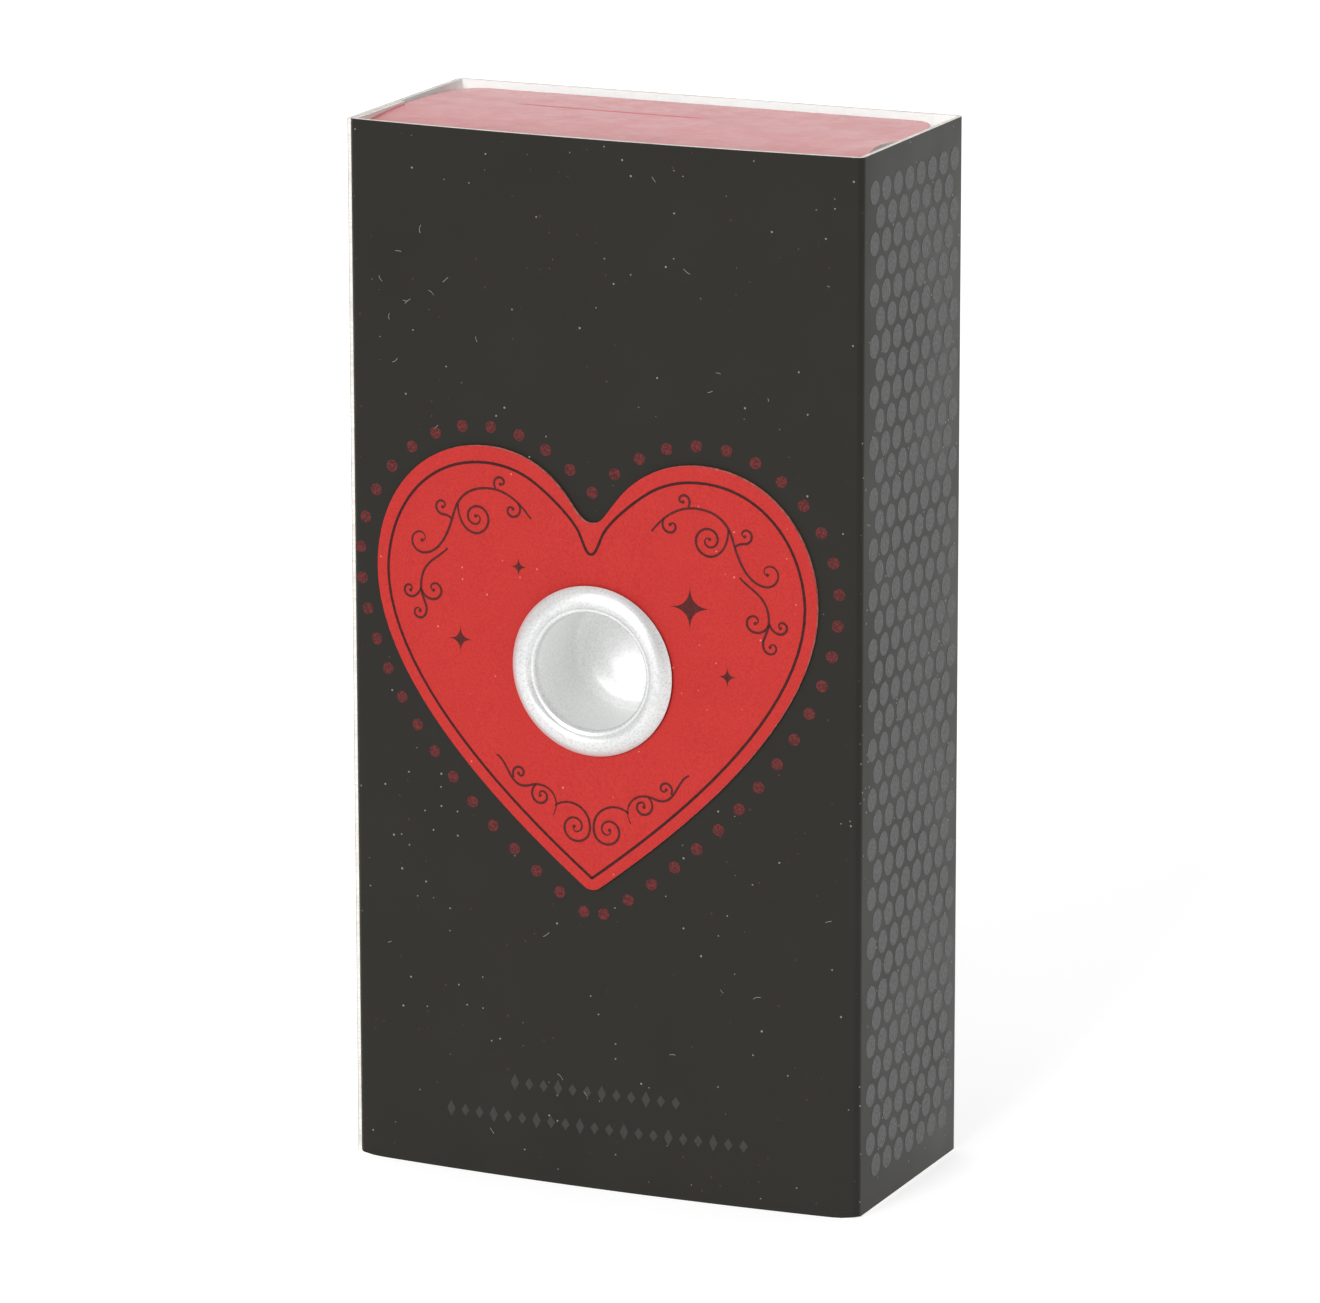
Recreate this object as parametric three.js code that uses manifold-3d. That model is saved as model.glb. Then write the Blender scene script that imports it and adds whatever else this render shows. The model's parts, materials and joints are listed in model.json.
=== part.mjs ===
// A wind-up music box. A printed slip-case holds a red carton; a turned metal winding cup, set in a raised
// card heart, goes through both and winds the comb movement that is screwed to a board inside the carton.
// Millimetres. X runs to the right, Y to the back and Z up. The origin is on the surface that the box stands
// on, in the middle of the slip-case's footprint.
import * as THREE from "three";
import { mergeVertices } from "three/addons/utils/BufferGeometryUtils.js";
import Module from "manifold-3d";

// Slip-case: one strip of board, glued at the front left corner and open at both ends
const WIDTH = 60;
const DEPTH = 28;
const HEIGHT = 116;
const BOARD = 0.55;
const FRONT_BOW = 1.3;
const BOW_STEPS = 12;
const GLUE_FLAP = 12;
const RAW_EDGE_Y = -DEPTH / 2 + 0.15;
const CORNER = 0.4;

// Inner carton and its top flap
const CARD = 0.45;
const CARTON_WIDTH = 57.4;
const CARTON_DEPTH = 26.7;
const CARTON_TOP = 114.7;
const FRONT_WALL_TOP = 114.4;
const DUST_FLAP = 10;
const FLAP_WIDTH = 57;
const FLAP_FRONT = -13.05;
const FLAP_BACK = 11.9;
const FLAP_CORNER_X = 2.7;
const FLAP_CORNER_Y = 9;
const FLAP_ROUNDING_X = 1;
const FLAP_ROUNDING_Y = 3;

// Raised heart. The right half of its outline runs from the notch over the lobe to the side and down to the
// tip, in cubic curves: each one gives two handles and its end.
const HEART_X = -0.6;
const HEART_THICKNESS = 0.4;
const HEART_GAP = 0.05;
const HEART_STEPS = 10;
const HEART_NOTCH = [0, 74.5];
const HEART_CURVES = [
  [1.3, 74.5, 1.75, 75.7, 3, 77.2],
  [5.05, 79.9, 8.3, 81.8, 12.5, 81.8],
  [20.5, 81.8, 25.9, 75.2, 25.9, 67.2],
  [25.9, 54.2, 9.5, 40.8, 0.9, 34.2],
  [0.6, 33.98, 0.3, 33.9, 0, 33.9],
];

// Winding cup, on the Y axis of the movement
const CUP_X = -0.4;
const CUP_Z = 58.3;
const CUP_FRONT = -17;
const CUP_BODY = 7.65;
const CUP_BORE = 6.45;
const CUP_CREST = 7.75;
const MOUTH_DEPTH = 0.7;
const DISH_DEPTH = 2.1;
const FLANGE = 9.4;
const FLANGE_BACK = -15.9;
const BORE_DEPTH = 12;
const ARBOR = 2;
const ARBOR_END = 1.5;
const ARBOR_STEP_Y = 7.4;
const ARBOR_END_Y = 11.3;
const CASE_HOLE = 8;
const BUSH_BORE = 7.75;
const BUSH_RADIUS = 8.7;

// Planes of the movement, front to back
const BARREL_FRONT = -11.9;
const BARREL_FLOOR = -2;
const BARREL_BACK = -1.25;
const ARBORS_Y = 3.7;
const PLATE_FRONT = 10.2;
const PLATE_BACK = 11.5;
const BOARD_FRONT = 11.6;
const BOARD_BACK = 12.8;

// Spring barrel and the crown gear on its back
const BARREL = 16.5;
const BARREL_WALL = 0.8;
const CROWN_TEETH = 40;
const CROWN_PITCH = 14;
const CROWN_FACE = 1.6;
const CROWN_TIP = 0.1;
const SPRING_TURNS = 4;
const SPRING_STEPS = 18;
const SPRING_STRIP = 0.35;

// Pinned cylinder, heights measured up from the cup's axis
const CYLINDER_BOTTOM = 17;
const CYLINDER_TOP = 45.8;
const CYLINDER = 5.2;
const PIN_TIP = 5.9;
const CYLINDER_ARBOR = 1;
const NOTES = 18;
const NOTE_PITCH = 1.55;
const FIRST_NOTE = CYLINDER_BOTTOM + 1.2;

// Wheel work
const PINION = { teeth: 12, module: 0.7, bottom: 13.1, height: 1.8 };
const WHEEL = { teeth: 24, module: 0.45, bottom: 48.1, height: 1.2 };
const IDLER_PINION = { teeth: 8, module: 0.45, bottom: 47.9, height: 1.7 };
const WORM_WHEEL = { teeth: 16, module: 0.4, bottom: 50.9, height: 1.2 };
const IDLER_X = ((WHEEL.teeth + IDLER_PINION.teeth) * WHEEL.module) / 2;
const IDLER_ARBOR = 0.6;
const WORM_PITCH_RADIUS = 1.2;
const WORM_X = IDLER_X + (WORM_WHEEL.teeth * WORM_WHEEL.module) / 2 + WORM_PITCH_RADIUS;
const WORM_Z = WORM_WHEEL.bottom + WORM_WHEEL.height / 2;
const WORM_LEAD = Math.PI * WORM_WHEEL.module;
const WORM_SHAFT = 0.45;
const FLY_RADIUS = 3.4;

// Frame of the governor, which also bears the top of the cylinder's arbor
const FRAME_BOTTOM = 46.6;
const FRAME_TOP = 53.2;
const FRAME_SHEET = 0.8;

// Ratchet and click
const RATCHET_TEETH = 24;
const RATCHET = 5.2;
const RATCHET_ROOT = 4.45;
const RATCHET_Y = [7.65, 8.75];
const CLICK_PIVOT = polar(8.2, 75);
const CLICK_BOSS = 1.7;

// Comb
const COMB_TIPS = -6.05;
const COMB_ROOTS = -17.4;
const COMB_TREBLE = 3.5;
const COMB_BACK = -24.3;
const COMB_BODY_Y = [3.1, 4.4];
const COMB_TEETH_Y = [3.45, 3.95];
const COMB_SLOT = 0.4;

// Screws, at x and height in the movement: head radius, head height and shank radius
const SMALL_SCREW = { head: 1.5, headHeight: 1, shank: 0.8 };
const LARGE_SCREW = { head: 2, headHeight: 1.3, shank: 1 };
const SHANK_GAP = 0.08;
const PLATE_SCREWS = [
  [-22, 50.5],
  [18, 41.5],
  [0, -14.5],
];
const COMB_SCREWS = [
  [-21, 22.5],
  [-21, 40.5],
];
const GOVERNOR_SCREWS = [
  [17.9, 48],
  [17.9, 52],
];
const BEARING_SCREW = [0, 7.7];
const GOVERNOR_PLATE_SCREW = [13.9, 8.6];

const ROUND = 40;
const SMALL_ROUND = 16;

const wasm = await Module();
wasm.setup();

// ---------------------------------------------------------------- helpers

// A point in the front view at a radius and an angle clockwise from the top.
function polar(radius, degrees) {
  const angle = THREE.MathUtils.degToRad(degrees);
  return [radius * Math.sin(angle), radius * Math.cos(angle)];
}

function solid(geometry) {
  const bare = geometry.index ? geometry.toNonIndexed() : geometry.clone();
  bare.deleteAttribute("normal");
  bare.deleteAttribute("uv");
  const merged = mergeVertices(bare, 1e-4);
  return new wasm.Manifold(
    new wasm.Mesh({
      numProp: 3,
      vertProperties: merged.attributes.position.array,
      triVerts: new Uint32Array(merged.index.array),
    }),
  );
}

function geometryOf(shape) {
  const mesh = shape.getMesh();
  const geometry = new THREE.BufferGeometry();
  geometry.setAttribute("position", new THREE.BufferAttribute(mesh.vertProperties, 3));
  geometry.setIndex(new THREE.BufferAttribute(mesh.triVerts, 1));
  const flat = geometry.toNonIndexed();
  flat.computeVertexNormals();
  return flat;
}

function joined(solids) {
  return solids.reduce((all, next) => all.add(next));
}

function cut(body, holes) {
  return holes.reduce((left, hole) => left.subtract(hole), body);
}

// A box between two values on each axis.
function block([x0, x1], [y0, y1], [z0, z1]) {
  const geometry = new THREE.BoxGeometry(x1 - x0, y1 - y0, z1 - z0);
  return solid(geometry.translate((x0 + x1) / 2, (y0 + y1) / 2, (z0 + z1) / 2));
}

// A profile of [radius, y] points turned round the Y axis, then moved to x, z.
function turned(profile, x = 0, z = 0, segments = ROUND) {
  const points = profile.map(([r, y]) => new THREE.Vector2(r, y));
  return solid(new THREE.LatheGeometry(points, segments).translate(x, 0, z));
}

// A profile of [radius, height] points turned round an upright axis at x, y.
function turnedUpright(profile, x = 0, y = 0, segments = ROUND) {
  const points = profile.map(([r, z]) => new THREE.Vector2(r, z));
  const geometry = new THREE.LatheGeometry(points, segments).rotateX(Math.PI / 2);
  return solid(geometry.translate(x, y, 0));
}

function rod(radius, from, to) {
  return [
    [0, from],
    [radius, from],
    [radius, to],
    [0, to],
  ];
}

function ring(inner, outer, from, to) {
  return [
    [inner, from],
    [outer, from],
    [outer, to],
    [inner, to],
    [inner, from],
  ];
}

function shapeOf(points) {
  return new THREE.Shape(points.map(([x, y]) => new THREE.Vector2(x, y)));
}

// A plan outline in x, y raised from one height to another.
function raised(shape, from, to, curveSegments = 8) {
  const options = { depth: to - from, bevelEnabled: false, curveSegments };
  return solid(new THREE.ExtrudeGeometry(shape, options).translate(0, 0, from));
}

// A front view outline in x, z made as thick as the two y values.
function upright(shape, [front, back], curveSegments = 8) {
  const options = { depth: back - front, bevelEnabled: false, curveSegments };
  const geometry = new THREE.ExtrudeGeometry(shape, options);
  return solid(geometry.rotateX(Math.PI / 2).translate(0, back, 0));
}

function roundedRectangle(x0, x1, z0, z1, r) {
  const shape = new THREE.Shape();
  shape.moveTo(x0 + r, z0);
  shape.lineTo(x1 - r, z0);
  shape.absarc(x1 - r, z0 + r, r, -Math.PI / 2, 0, false);
  shape.lineTo(x1, z1 - r);
  shape.absarc(x1 - r, z1 - r, r, 0, Math.PI / 2, false);
  shape.lineTo(x0 + r, z1);
  shape.absarc(x0 + r, z1 - r, r, Math.PI / 2, Math.PI, false);
  shape.lineTo(x0, z0 + r);
  shape.absarc(x0 + r, z0 + r, r, Math.PI, Math.PI * 1.5, false);
  return shape;
}

const root = new THREE.Group();
const movement = new THREE.Group();
movement.position.set(CUP_X, 0, CUP_Z);
root.add(movement);

function add(group, name, shape, material) {
  const mesh = new THREE.Mesh(geometryOf(shape), material);
  mesh.name = name;
  group.add(mesh);
}

function finish(color, roughness, metalness = 0) {
  return new THREE.MeshStandardMaterial({ color, roughness, metalness });
}

const blackBoard = finish(0x393735, 0.55);
const redCard = finish(0xd73e3a, 0.6);
const cartonRed = finish(0xc93a3a, 0.4);
const greyBoard = finish(0x9a8f80, 0.9);
const satinAluminium = finish(0xc9cacc, 0.35, 1);
const castZinc = finish(0xa9abad, 0.45, 1);
const brass = finish(0xc9a24e, 0.3, 1);
const steel = finish(0xb4b6b8, 0.3, 1);
const springSteel = finish(0x6f7884, 0.35, 1);
const plastic = finish(0x35363a, 0.5);

// ---------------------------------------------------------------- slip-case

// The front panel's outer face: it bulges most at its middle.
function bow(x) {
  return -DEPTH / 2 - FRONT_BOW * (1 - (2 * x / WIDTH) ** 2);
}

// Steps across the front between two x values, the same for every layer of the front.
function acrossFront(from, to) {
  const step = WIDTH / BOW_STEPS;
  const inside = [];
  for (let x = -WIDTH / 2 + step; x < WIDTH / 2; x += step) {
    if (x > from && x < to) {
      inside.push(x);
    }
  }
  return [from, ...inside, to];
}

function sleeve() {
  const half = WIDTH / 2;
  const back = DEPTH / 2;
  const foldX = -half + BOARD;
  const flapX = -half + 2 * BOARD;
  const outside = [
    [-half, RAW_EDGE_Y],
    [foldX, RAW_EDGE_Y],
    ...acrossFront(foldX + BOARD / 2, half - CORNER).map((x) => [x, bow(x)]),
    [half, -back + CORNER],
    [half, back - CORNER],
    [half - CORNER, back],
    [-half + CORNER, back],
    [-half, back - CORNER],
  ];
  const inside = [
    ...acrossFront(flapX, half - BOARD).map((x) => [x, bow(x) + BOARD]),
    [half - BOARD, back - BOARD],
    [foldX, back - BOARD],
    [foldX, GLUE_FLAP - back],
    [flapX, GLUE_FLAP - back],
  ];
  const plan = shapeOf(outside);
  plan.holes.push(new THREE.Path(inside.map(([x, y]) => new THREE.Vector2(x, y))));
  const hole = turned(rod(CASE_HOLE, -DEPTH, 0), CUP_X, CUP_Z);
  return cut(raised(plan, 0, HEIGHT), [hole]);
}

function heartOutline() {
  const right = new THREE.Path();
  right.moveTo(...HEART_NOTCH);
  for (const curve of HEART_CURVES) {
    right.bezierCurveTo(...curve);
  }
  const down = right.getPoints(HEART_STEPS).map((p) => [p.x, p.y]);
  const up = down.slice(1, -1).reverse().map(([x, z]) => [-x, z]);
  return shapeOf([...down, ...up].map(([x, z]) => [x + HEART_X, z]));
}

function heartPanel() {
  const limits = [-WIDTH / 2, WIDTH / 2];
  const backFace = acrossFront(...limits).map((x) => [x, bow(x) - HEART_GAP]);
  const frontFace = backFace.map(([x, y]) => [x, y - HEART_THICKNESS]).reverse();
  const layer = raised(shapeOf([...backFace, ...frontFace]), 0, HEIGHT);
  const prism = upright(heartOutline(), [-DEPTH, 0]);
  const hole = turned(rod(CASE_HOLE, -DEPTH, 0), CUP_X, CUP_Z);
  return cut(layer.intersect(prism), [hole]);
}

// ---------------------------------------------------------------- inner carton

function innerCarton() {
  const x = CARTON_WIDTH / 2;
  const y = CARTON_DEPTH / 2;
  const shell = cut(block([-x, x], [-y, y], [0, CARTON_TOP]), [
    block([-x + CARD, x - CARD], [-y + CARD, y - CARD], [CARD, HEIGHT]),
    block([-x - 1, x + 1], [-y - 1, -y + CARD], [FRONT_WALL_TOP, HEIGHT]),
    turned(rod(BUSH_RADIUS + 0.05, -DEPTH, 0), CUP_X, CUP_Z),
  ]);
  const flapY = [-y + CARD + 0.6, y - CARD - 0.6];
  const flapZ = [CARTON_TOP - CARD, CARTON_TOP];
  const left = block([-x, -x + DUST_FLAP], flapY, flapZ);
  const right = block([x - DUST_FLAP, x], flapY, flapZ);
  return joined([shell, left, right]);
}

function topFlap() {
  const x = FLAP_WIDTH / 2;
  const cornerX = x - FLAP_CORNER_X;
  const cornerY = FLAP_BACK - FLAP_CORNER_Y;
  const plan = new THREE.Shape();
  plan.moveTo(-x, FLAP_FRONT);
  plan.lineTo(x, FLAP_FRONT);
  plan.lineTo(x, cornerY);
  const handleX = x - FLAP_ROUNDING_X;
  const handleY = FLAP_BACK - FLAP_ROUNDING_Y;
  const underside = CARTON_TOP + 0.05;
  plan.bezierCurveTo(x, handleY, handleX, FLAP_BACK, cornerX, FLAP_BACK);
  plan.lineTo(-cornerX, FLAP_BACK);
  plan.bezierCurveTo(-handleX, FLAP_BACK, -x, handleY, -x, cornerY);
  return raised(plan, underside, underside + CARD, 6);
}

function mountingBoard() {
  const x = CARTON_WIDTH / 2 - CARD - 0.3;
  const board = block([-x, x], [BOARD_FRONT, BOARD_BACK], [CARD + 0.3, CARTON_TOP - CARD - 0.8]);
  const holes = PLATE_SCREWS.map(([sx, sz]) =>
    turned(rod(LARGE_SCREW.shank + SHANK_GAP, 0, DEPTH), CUP_X + sx, CUP_Z + sz, SMALL_ROUND),
  );
  return cut(board, holes);
}

// ---------------------------------------------------------------- winding cup, ratchet and click

function windingCup() {
  const boreEnd = CUP_FRONT + BORE_DEPTH;
  const inside = [
    [0, boreEnd + DISH_DEPTH],
    [2.2, boreEnd + DISH_DEPTH - 0.15],
    [4.2, boreEnd + DISH_DEPTH - 0.65],
    [5.7, boreEnd + DISH_DEPTH - 1.6],
    [CUP_BORE, boreEnd],
    [CUP_BORE, CUP_FRONT + MOUTH_DEPTH],
  ];
  const lip = [
    [CUP_BORE + 0.25, CUP_FRONT + 0.4],
    [CUP_CREST, CUP_FRONT],
    [CUP_CREST + 0.9, CUP_FRONT + 0.2],
    [FLANGE - 0.35, CUP_FRONT + 0.6],
    [FLANGE, FLANGE_BACK - 0.1],
    [FLANGE - 0.1, FLANGE_BACK],
  ];
  const outside = [
    [CUP_BODY, FLANGE_BACK],
    [CUP_BODY, boreEnd - 0.2],
    [6.9, boreEnd + 0.7],
    [5, boreEnd + 2],
    [2.6, boreEnd + 2.7],
    [ARBOR, boreEnd + 2.8],
  ];
  const arbor = [
    [ARBOR, ARBOR_STEP_Y],
    [ARBOR_END, ARBOR_STEP_Y],
    [ARBOR_END, ARBOR_END_Y],
    [0, ARBOR_END_Y],
  ];
  return turned([...inside, ...lip, ...outside, ...arbor]);
}

// A collar glued in the carton's front wall, in which the cup turns.
function cupBush() {
  const front = -CARTON_DEPTH / 2;
  const wallBack = front + CARD + 0.05;
  return turned([
    [BUSH_BORE, front],
    [BUSH_RADIUS, front],
    [BUSH_RADIUS, wallBack],
    [BUSH_RADIUS + 1.8, wallBack],
    [BUSH_RADIUS + 1.8, wallBack + 0.7],
    [BUSH_BORE, wallBack + 0.7],
    [BUSH_BORE, front],
  ]);
}

function arborBush() {
  return turned(
    [
      [ARBOR_END + 0.06, PLATE_FRONT - 0.8],
      [3.8, PLATE_FRONT - 0.8],
      [3.8, PLATE_FRONT - 0.05],
      [3, PLATE_FRONT - 0.05],
      [3, PLATE_BACK - 0.05],
      [ARBOR_END + 0.06, PLATE_BACK - 0.05],
      [ARBOR_END + 0.06, PLATE_FRONT - 0.8],
    ],
    0,
    0,
    24,
  );
}

// Each tooth drops from its radial face; the wheel turns clockwise past the click, and never back.
function ratchetWheel() {
  const pitch = 360 / RATCHET_TEETH;
  const outline = [];
  for (let i = RATCHET_TEETH; i > 0; i -= 1) {
    outline.push(polar(RATCHET, i * pitch));
    outline.push(polar(RATCHET_ROOT, i * pitch));
  }
  const bore = turned(rod(ARBOR_END + 0.03, 0, DEPTH));
  return cut(upright(shapeOf(outline), RATCHET_Y), [bore]);
}

// The click reaches round the ratchet wheel and rests in front of one tooth's face.
function click() {
  const [x, z] = CLICK_PIVOT;
  const arm = shapeOf([
    polar(4.62, 134.2),
    polar(6.1, 134.2),
    polar(7.1, 115),
    [x + 1.2, z - 1.2],
    [x - 1.2, z - 1.2],
    polar(6, 105),
    polar(5.55, 121),
    polar(5.02, 128.5),
  ]);
  const boss = turned(rod(CLICK_BOSS, RATCHET_Y[0], RATCHET_Y[1]), x, z, SMALL_ROUND);
  const pivot = turned(rod(SMALL_SCREW.shank + SHANK_GAP, 0, DEPTH), x, z, SMALL_ROUND);
  return cut(boss.add(upright(arm, RATCHET_Y)), [pivot]);
}

// A leaf spring on a stud, lying beside the click's back.
function clickSpring() {
  const [x, z] = clickStud();
  const eye = turned(ring(0.95, 1.5, 8, 9.4), x, z, SMALL_ROUND);
  const leaf = shapeOf([
    [x - 1.4, z + 0.2],
    [x - 0.9, z + 0.95],
    [8.9, -0.15],
    [8.75, -0.4],
  ]);
  return eye.add(upright(leaf, [8.1, 9.1]));
}

function clickStud() {
  return [13.2, -3.4];
}

// ---------------------------------------------------------------- spring barrel

// One tooth of the crown gear: a wedge along the radius at the top of the wheel.
function crownTooth() {
  const section = shapeOf([
    [-0.42, BARREL_BACK - 0.3],
    [0.42, BARREL_BACK - 0.3],
    [0.42, BARREL_BACK],
    [0.2, CROWN_TIP],
    [-0.2, CROWN_TIP],
    [-0.42, BARREL_BACK],
  ]);
  return raised(section, CROWN_PITCH - CROWN_FACE / 2, CROWN_PITCH + CROWN_FACE / 2);
}

function springBarrel() {
  const drum = turned(
    [
      [ARBOR + 0.1, BARREL_FLOOR],
      [BARREL - BARREL_WALL, BARREL_FLOOR],
      [BARREL - BARREL_WALL, BARREL_FRONT],
      [BARREL, BARREL_FRONT],
      [BARREL, BARREL_BACK],
      [ARBOR + 0.1, BARREL_BACK],
      [ARBOR + 0.1, BARREL_FLOOR],
    ],
    0,
    0,
    CROWN_TEETH,
  );
  const tooth = crownTooth();
  const teeth = [];
  for (let i = 0; i < CROWN_TEETH; i += 1) {
    teeth.push(tooth.rotate([0, (360 / CROWN_TEETH) * i, 0]));
  }
  return joined([drum, ...teeth]);
}

function barrelCap() {
  const outer = BARREL - BARREL_WALL - 0.08;
  return turned(ring(CUP_BODY + 0.45, outer, BARREL_FRONT + 0.05, BARREL_FRONT + 0.6));
}

// A flat strip coiled round the cup's body, its outer end against the barrel's wall.
function mainspring() {
  const inner = CUP_BODY + 0.8;
  const outer = BARREL - BARREL_WALL - SPRING_STRIP - 0.1;
  const steps = SPRING_TURNS * SPRING_STEPS;
  const edge = (offset) => {
    const points = [];
    for (let i = 0; i <= steps; i += 1) {
      const radius = inner + ((outer - inner) * i) / steps + offset;
      points.push(polar(radius, (-360 / SPRING_STEPS) * i));
    }
    return points;
  };
  const strip = [...edge(SPRING_STRIP), ...edge(0).reverse()];
  return upright(shapeOf(strip), [BARREL_FRONT + 1, BARREL_FLOOR - 0.4]);
}

// ---------------------------------------------------------------- cylinder and wheel work

// A wheel's plan: straight-sided teeth, slim enough to leave backlash. Its first tooth points along +X
// unless the whole plan is turned.
function toothed({ teeth, module }, addendum, dedendum, [rootHalf, tipHalf], turn = 0) {
  const pitchRadius = (teeth * module) / 2;
  const root = pitchRadius - dedendum;
  const tip = pitchRadius + addendum;
  const points = [];
  for (let i = 0; i < teeth; i += 1) {
    const angle = turn + (2 * Math.PI * i) / teeth;
    const flank = [
      [root, -rootHalf],
      [tip, -tipHalf],
      [tip, tipHalf],
      [root, rootHalf],
    ];
    for (const [along, across] of flank) {
      points.push([
        along * Math.cos(angle) - across * Math.sin(angle),
        along * Math.sin(angle) + across * Math.cos(angle),
      ]);
    }
  }
  return shapeOf(points);
}

function wheelOn(plan, { bottom, height }, bore, x) {
  const disc = raised(plan, bottom, bottom + height);
  const hole = turnedUpright(rod(bore, 0, HEIGHT), 0, 0, SMALL_ROUND);
  return cut(disc, [hole]).translate([x, ARBORS_Y, 0]);
}

// A pin every so often round each note's track; the steps between tracks spread them evenly.
function cylinder() {
  const drum = turnedUpright(ring(CYLINDER_ARBOR + 0.04, CYLINDER, CYLINDER_BOTTOM, CYLINDER_TOP), 0, 0, 24);
  const pin = new THREE.ConeGeometry(0.32, PIN_TIP - CYLINDER + 0.6, 4);
  pin.rotateZ(-Math.PI / 2).translate((PIN_TIP + CYLINDER - 0.6) / 2, 0, 0);
  const peg = solid(pin);
  const pins = [];
  for (let note = 0; note < NOTES; note += 1) {
    for (let beat = 0; beat < 3; beat += 1) {
      const angle = note * 77 + beat * 120 + 40;
      pins.push(peg.rotate([0, 0, angle]).translate([0, 0, FIRST_NOTE + note * NOTE_PITCH]));
    }
  }
  return joined([drum, ...pins]).translate([0, ARBORS_Y, 0]);
}

function cylinderArbor() {
  return turnedUpright(rod(CYLINDER_ARBOR, 9.2, FRAME_TOP + FRAME_SHEET + 0.4), 0, ARBORS_Y, SMALL_ROUND);
}

function cylinderPinion() {
  const halfPitch = Math.PI / PINION.teeth;
  const plan = toothed(PINION, 0.52, 0.8, [0.5, 0.18], halfPitch);
  return wheelOn(plan, PINION, CYLINDER_ARBOR + 0.04, 0);
}

function cylinderWheel() {
  const plan = toothed(WHEEL, 0.4, 0.55, [0.36, 0.14]);
  return wheelOn(plan, WHEEL, CYLINDER_ARBOR + 0.04, 0);
}

function idlerArbor() {
  const ends = [FRAME_BOTTOM - 0.3, FRAME_TOP + FRAME_SHEET + 0.4];
  return turnedUpright(rod(IDLER_ARBOR, ...ends), IDLER_X, ARBORS_Y, SMALL_ROUND);
}

function idlerPinion() {
  const halfPitch = Math.PI / IDLER_PINION.teeth;
  const plan = toothed(IDLER_PINION, 0.38, 0.6, [0.34, 0.14], halfPitch);
  return wheelOn(plan, IDLER_PINION, IDLER_ARBOR + 0.03, IDLER_X);
}

function wormWheel() {
  const halfPitch = Math.PI / WORM_WHEEL.teeth;
  const plan = toothed(WORM_WHEEL, 0.3, 0.42, [0.3, 0.13], halfPitch);
  return wheelOn(plan, WORM_WHEEL, IDLER_ARBOR + 0.03, IDLER_X);
}

// The line of the worm's thread, right-handed round the Y axis, facing the worm wheel at its middle.
class Thread extends THREE.Curve {
  getPoint(t, target = new THREE.Vector3()) {
    const turns = 4 * (t - 0.5);
    const angle = 2 * Math.PI * turns - Math.PI / 2;
    const x = WORM_PITCH_RADIUS * Math.sin(angle);
    const z = WORM_PITCH_RADIUS * Math.cos(angle);
    return target.set(x, ARBORS_Y + WORM_LEAD * turns, z);
  }
}

function worm() {
  const shaft = turned(rod(WORM_SHAFT, -6.6, PLATE_FRONT - 0.3), 0, 0, SMALL_ROUND);
  const core = turned(rod(0.78, ARBORS_Y - 2.9, ARBORS_Y + 2.9), 0, 0, SMALL_ROUND);
  const wire = new THREE.Shape().absarc(0, 0, 0.26, 0, 2 * Math.PI, false);
  const thread = new THREE.ExtrudeGeometry(wire, {
    steps: 56,
    curveSegments: 3,
    extrudePath: new Thread(),
    bevelEnabled: false,
  });
  const land = turned(rod(WORM_PITCH_RADIUS - 0.1, ARBORS_Y - 2.9, ARBORS_Y - 2.3), 0, 0, SMALL_ROUND);
  return joined([shaft, core, land, solid(thread)]).translate([WORM_X, 0, WORM_Z]);
}

// Two blades on a hub at the worm's front end, which brake the train against the air.
function fly() {
  const y = [-6.4, -1.9];
  const hub = turned(ring(WORM_SHAFT + 0.03, 0.95, ...y), 0, 0, SMALL_ROUND);
  const blade = block([0.7, FLY_RADIUS], [y[0] + 0.2, y[1] - 0.2], [-0.2, 0.2]);
  return joined([hub, blade, blade.rotate([0, 180, 0])]).translate([WORM_X, 0, WORM_Z]);
}

// ---------------------------------------------------------------- frames and comb

function arborHoles() {
  const atCylinder = turnedUpright(rod(CYLINDER_ARBOR + 0.08, 0, HEIGHT), 0, ARBORS_Y, SMALL_ROUND);
  const atIdler = turnedUpright(rod(IDLER_ARBOR + 0.08, 0, HEIGHT), IDLER_X, ARBORS_Y, SMALL_ROUND);
  return [atCylinder, atIdler];
}

function governorFrame() {
  const seat = PLATE_FRONT - 0.05;
  const wall = [14.2, 15.2];
  const [screwX, screwY] = GOVERNOR_PLATE_SCREW;
  const pieces = [
    block([-2.6, wall[1]], [2, seat], [FRAME_BOTTOM, FRAME_BOTTOM + FRAME_SHEET]),
    block(wall, [-0.9, seat], [FRAME_BOTTOM, FRAME_TOP]),
    block([10.2, wall[1]], [-0.9, -0.1], [49.3, FRAME_TOP]),
    block([9.8, 20.6], [seat - FRAME_SHEET, seat], [FRAME_BOTTOM - 0.6, FRAME_TOP + 0.8]),
    block([screwX - 1.2, wall[1]], [screwY - 1.2, seat], [FRAME_BOTTOM, FRAME_TOP]),
  ];
  const screwHoles = GOVERNOR_SCREWS.map(([x, z]) =>
    turned(rod(SMALL_SCREW.shank + SHANK_GAP, 0, DEPTH), x, z, SMALL_ROUND),
  );
  const wormHoles = turned(rod(WORM_SHAFT + 0.08, -DEPTH, DEPTH), WORM_X, WORM_Z, SMALL_ROUND);
  const plateHole = turnedUpright(rod(0.68, 50, HEIGHT), screwX, screwY, SMALL_ROUND);
  return cut(joined(pieces), [...arborHoles(), ...screwHoles, wormHoles, plateHole]);
}

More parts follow.
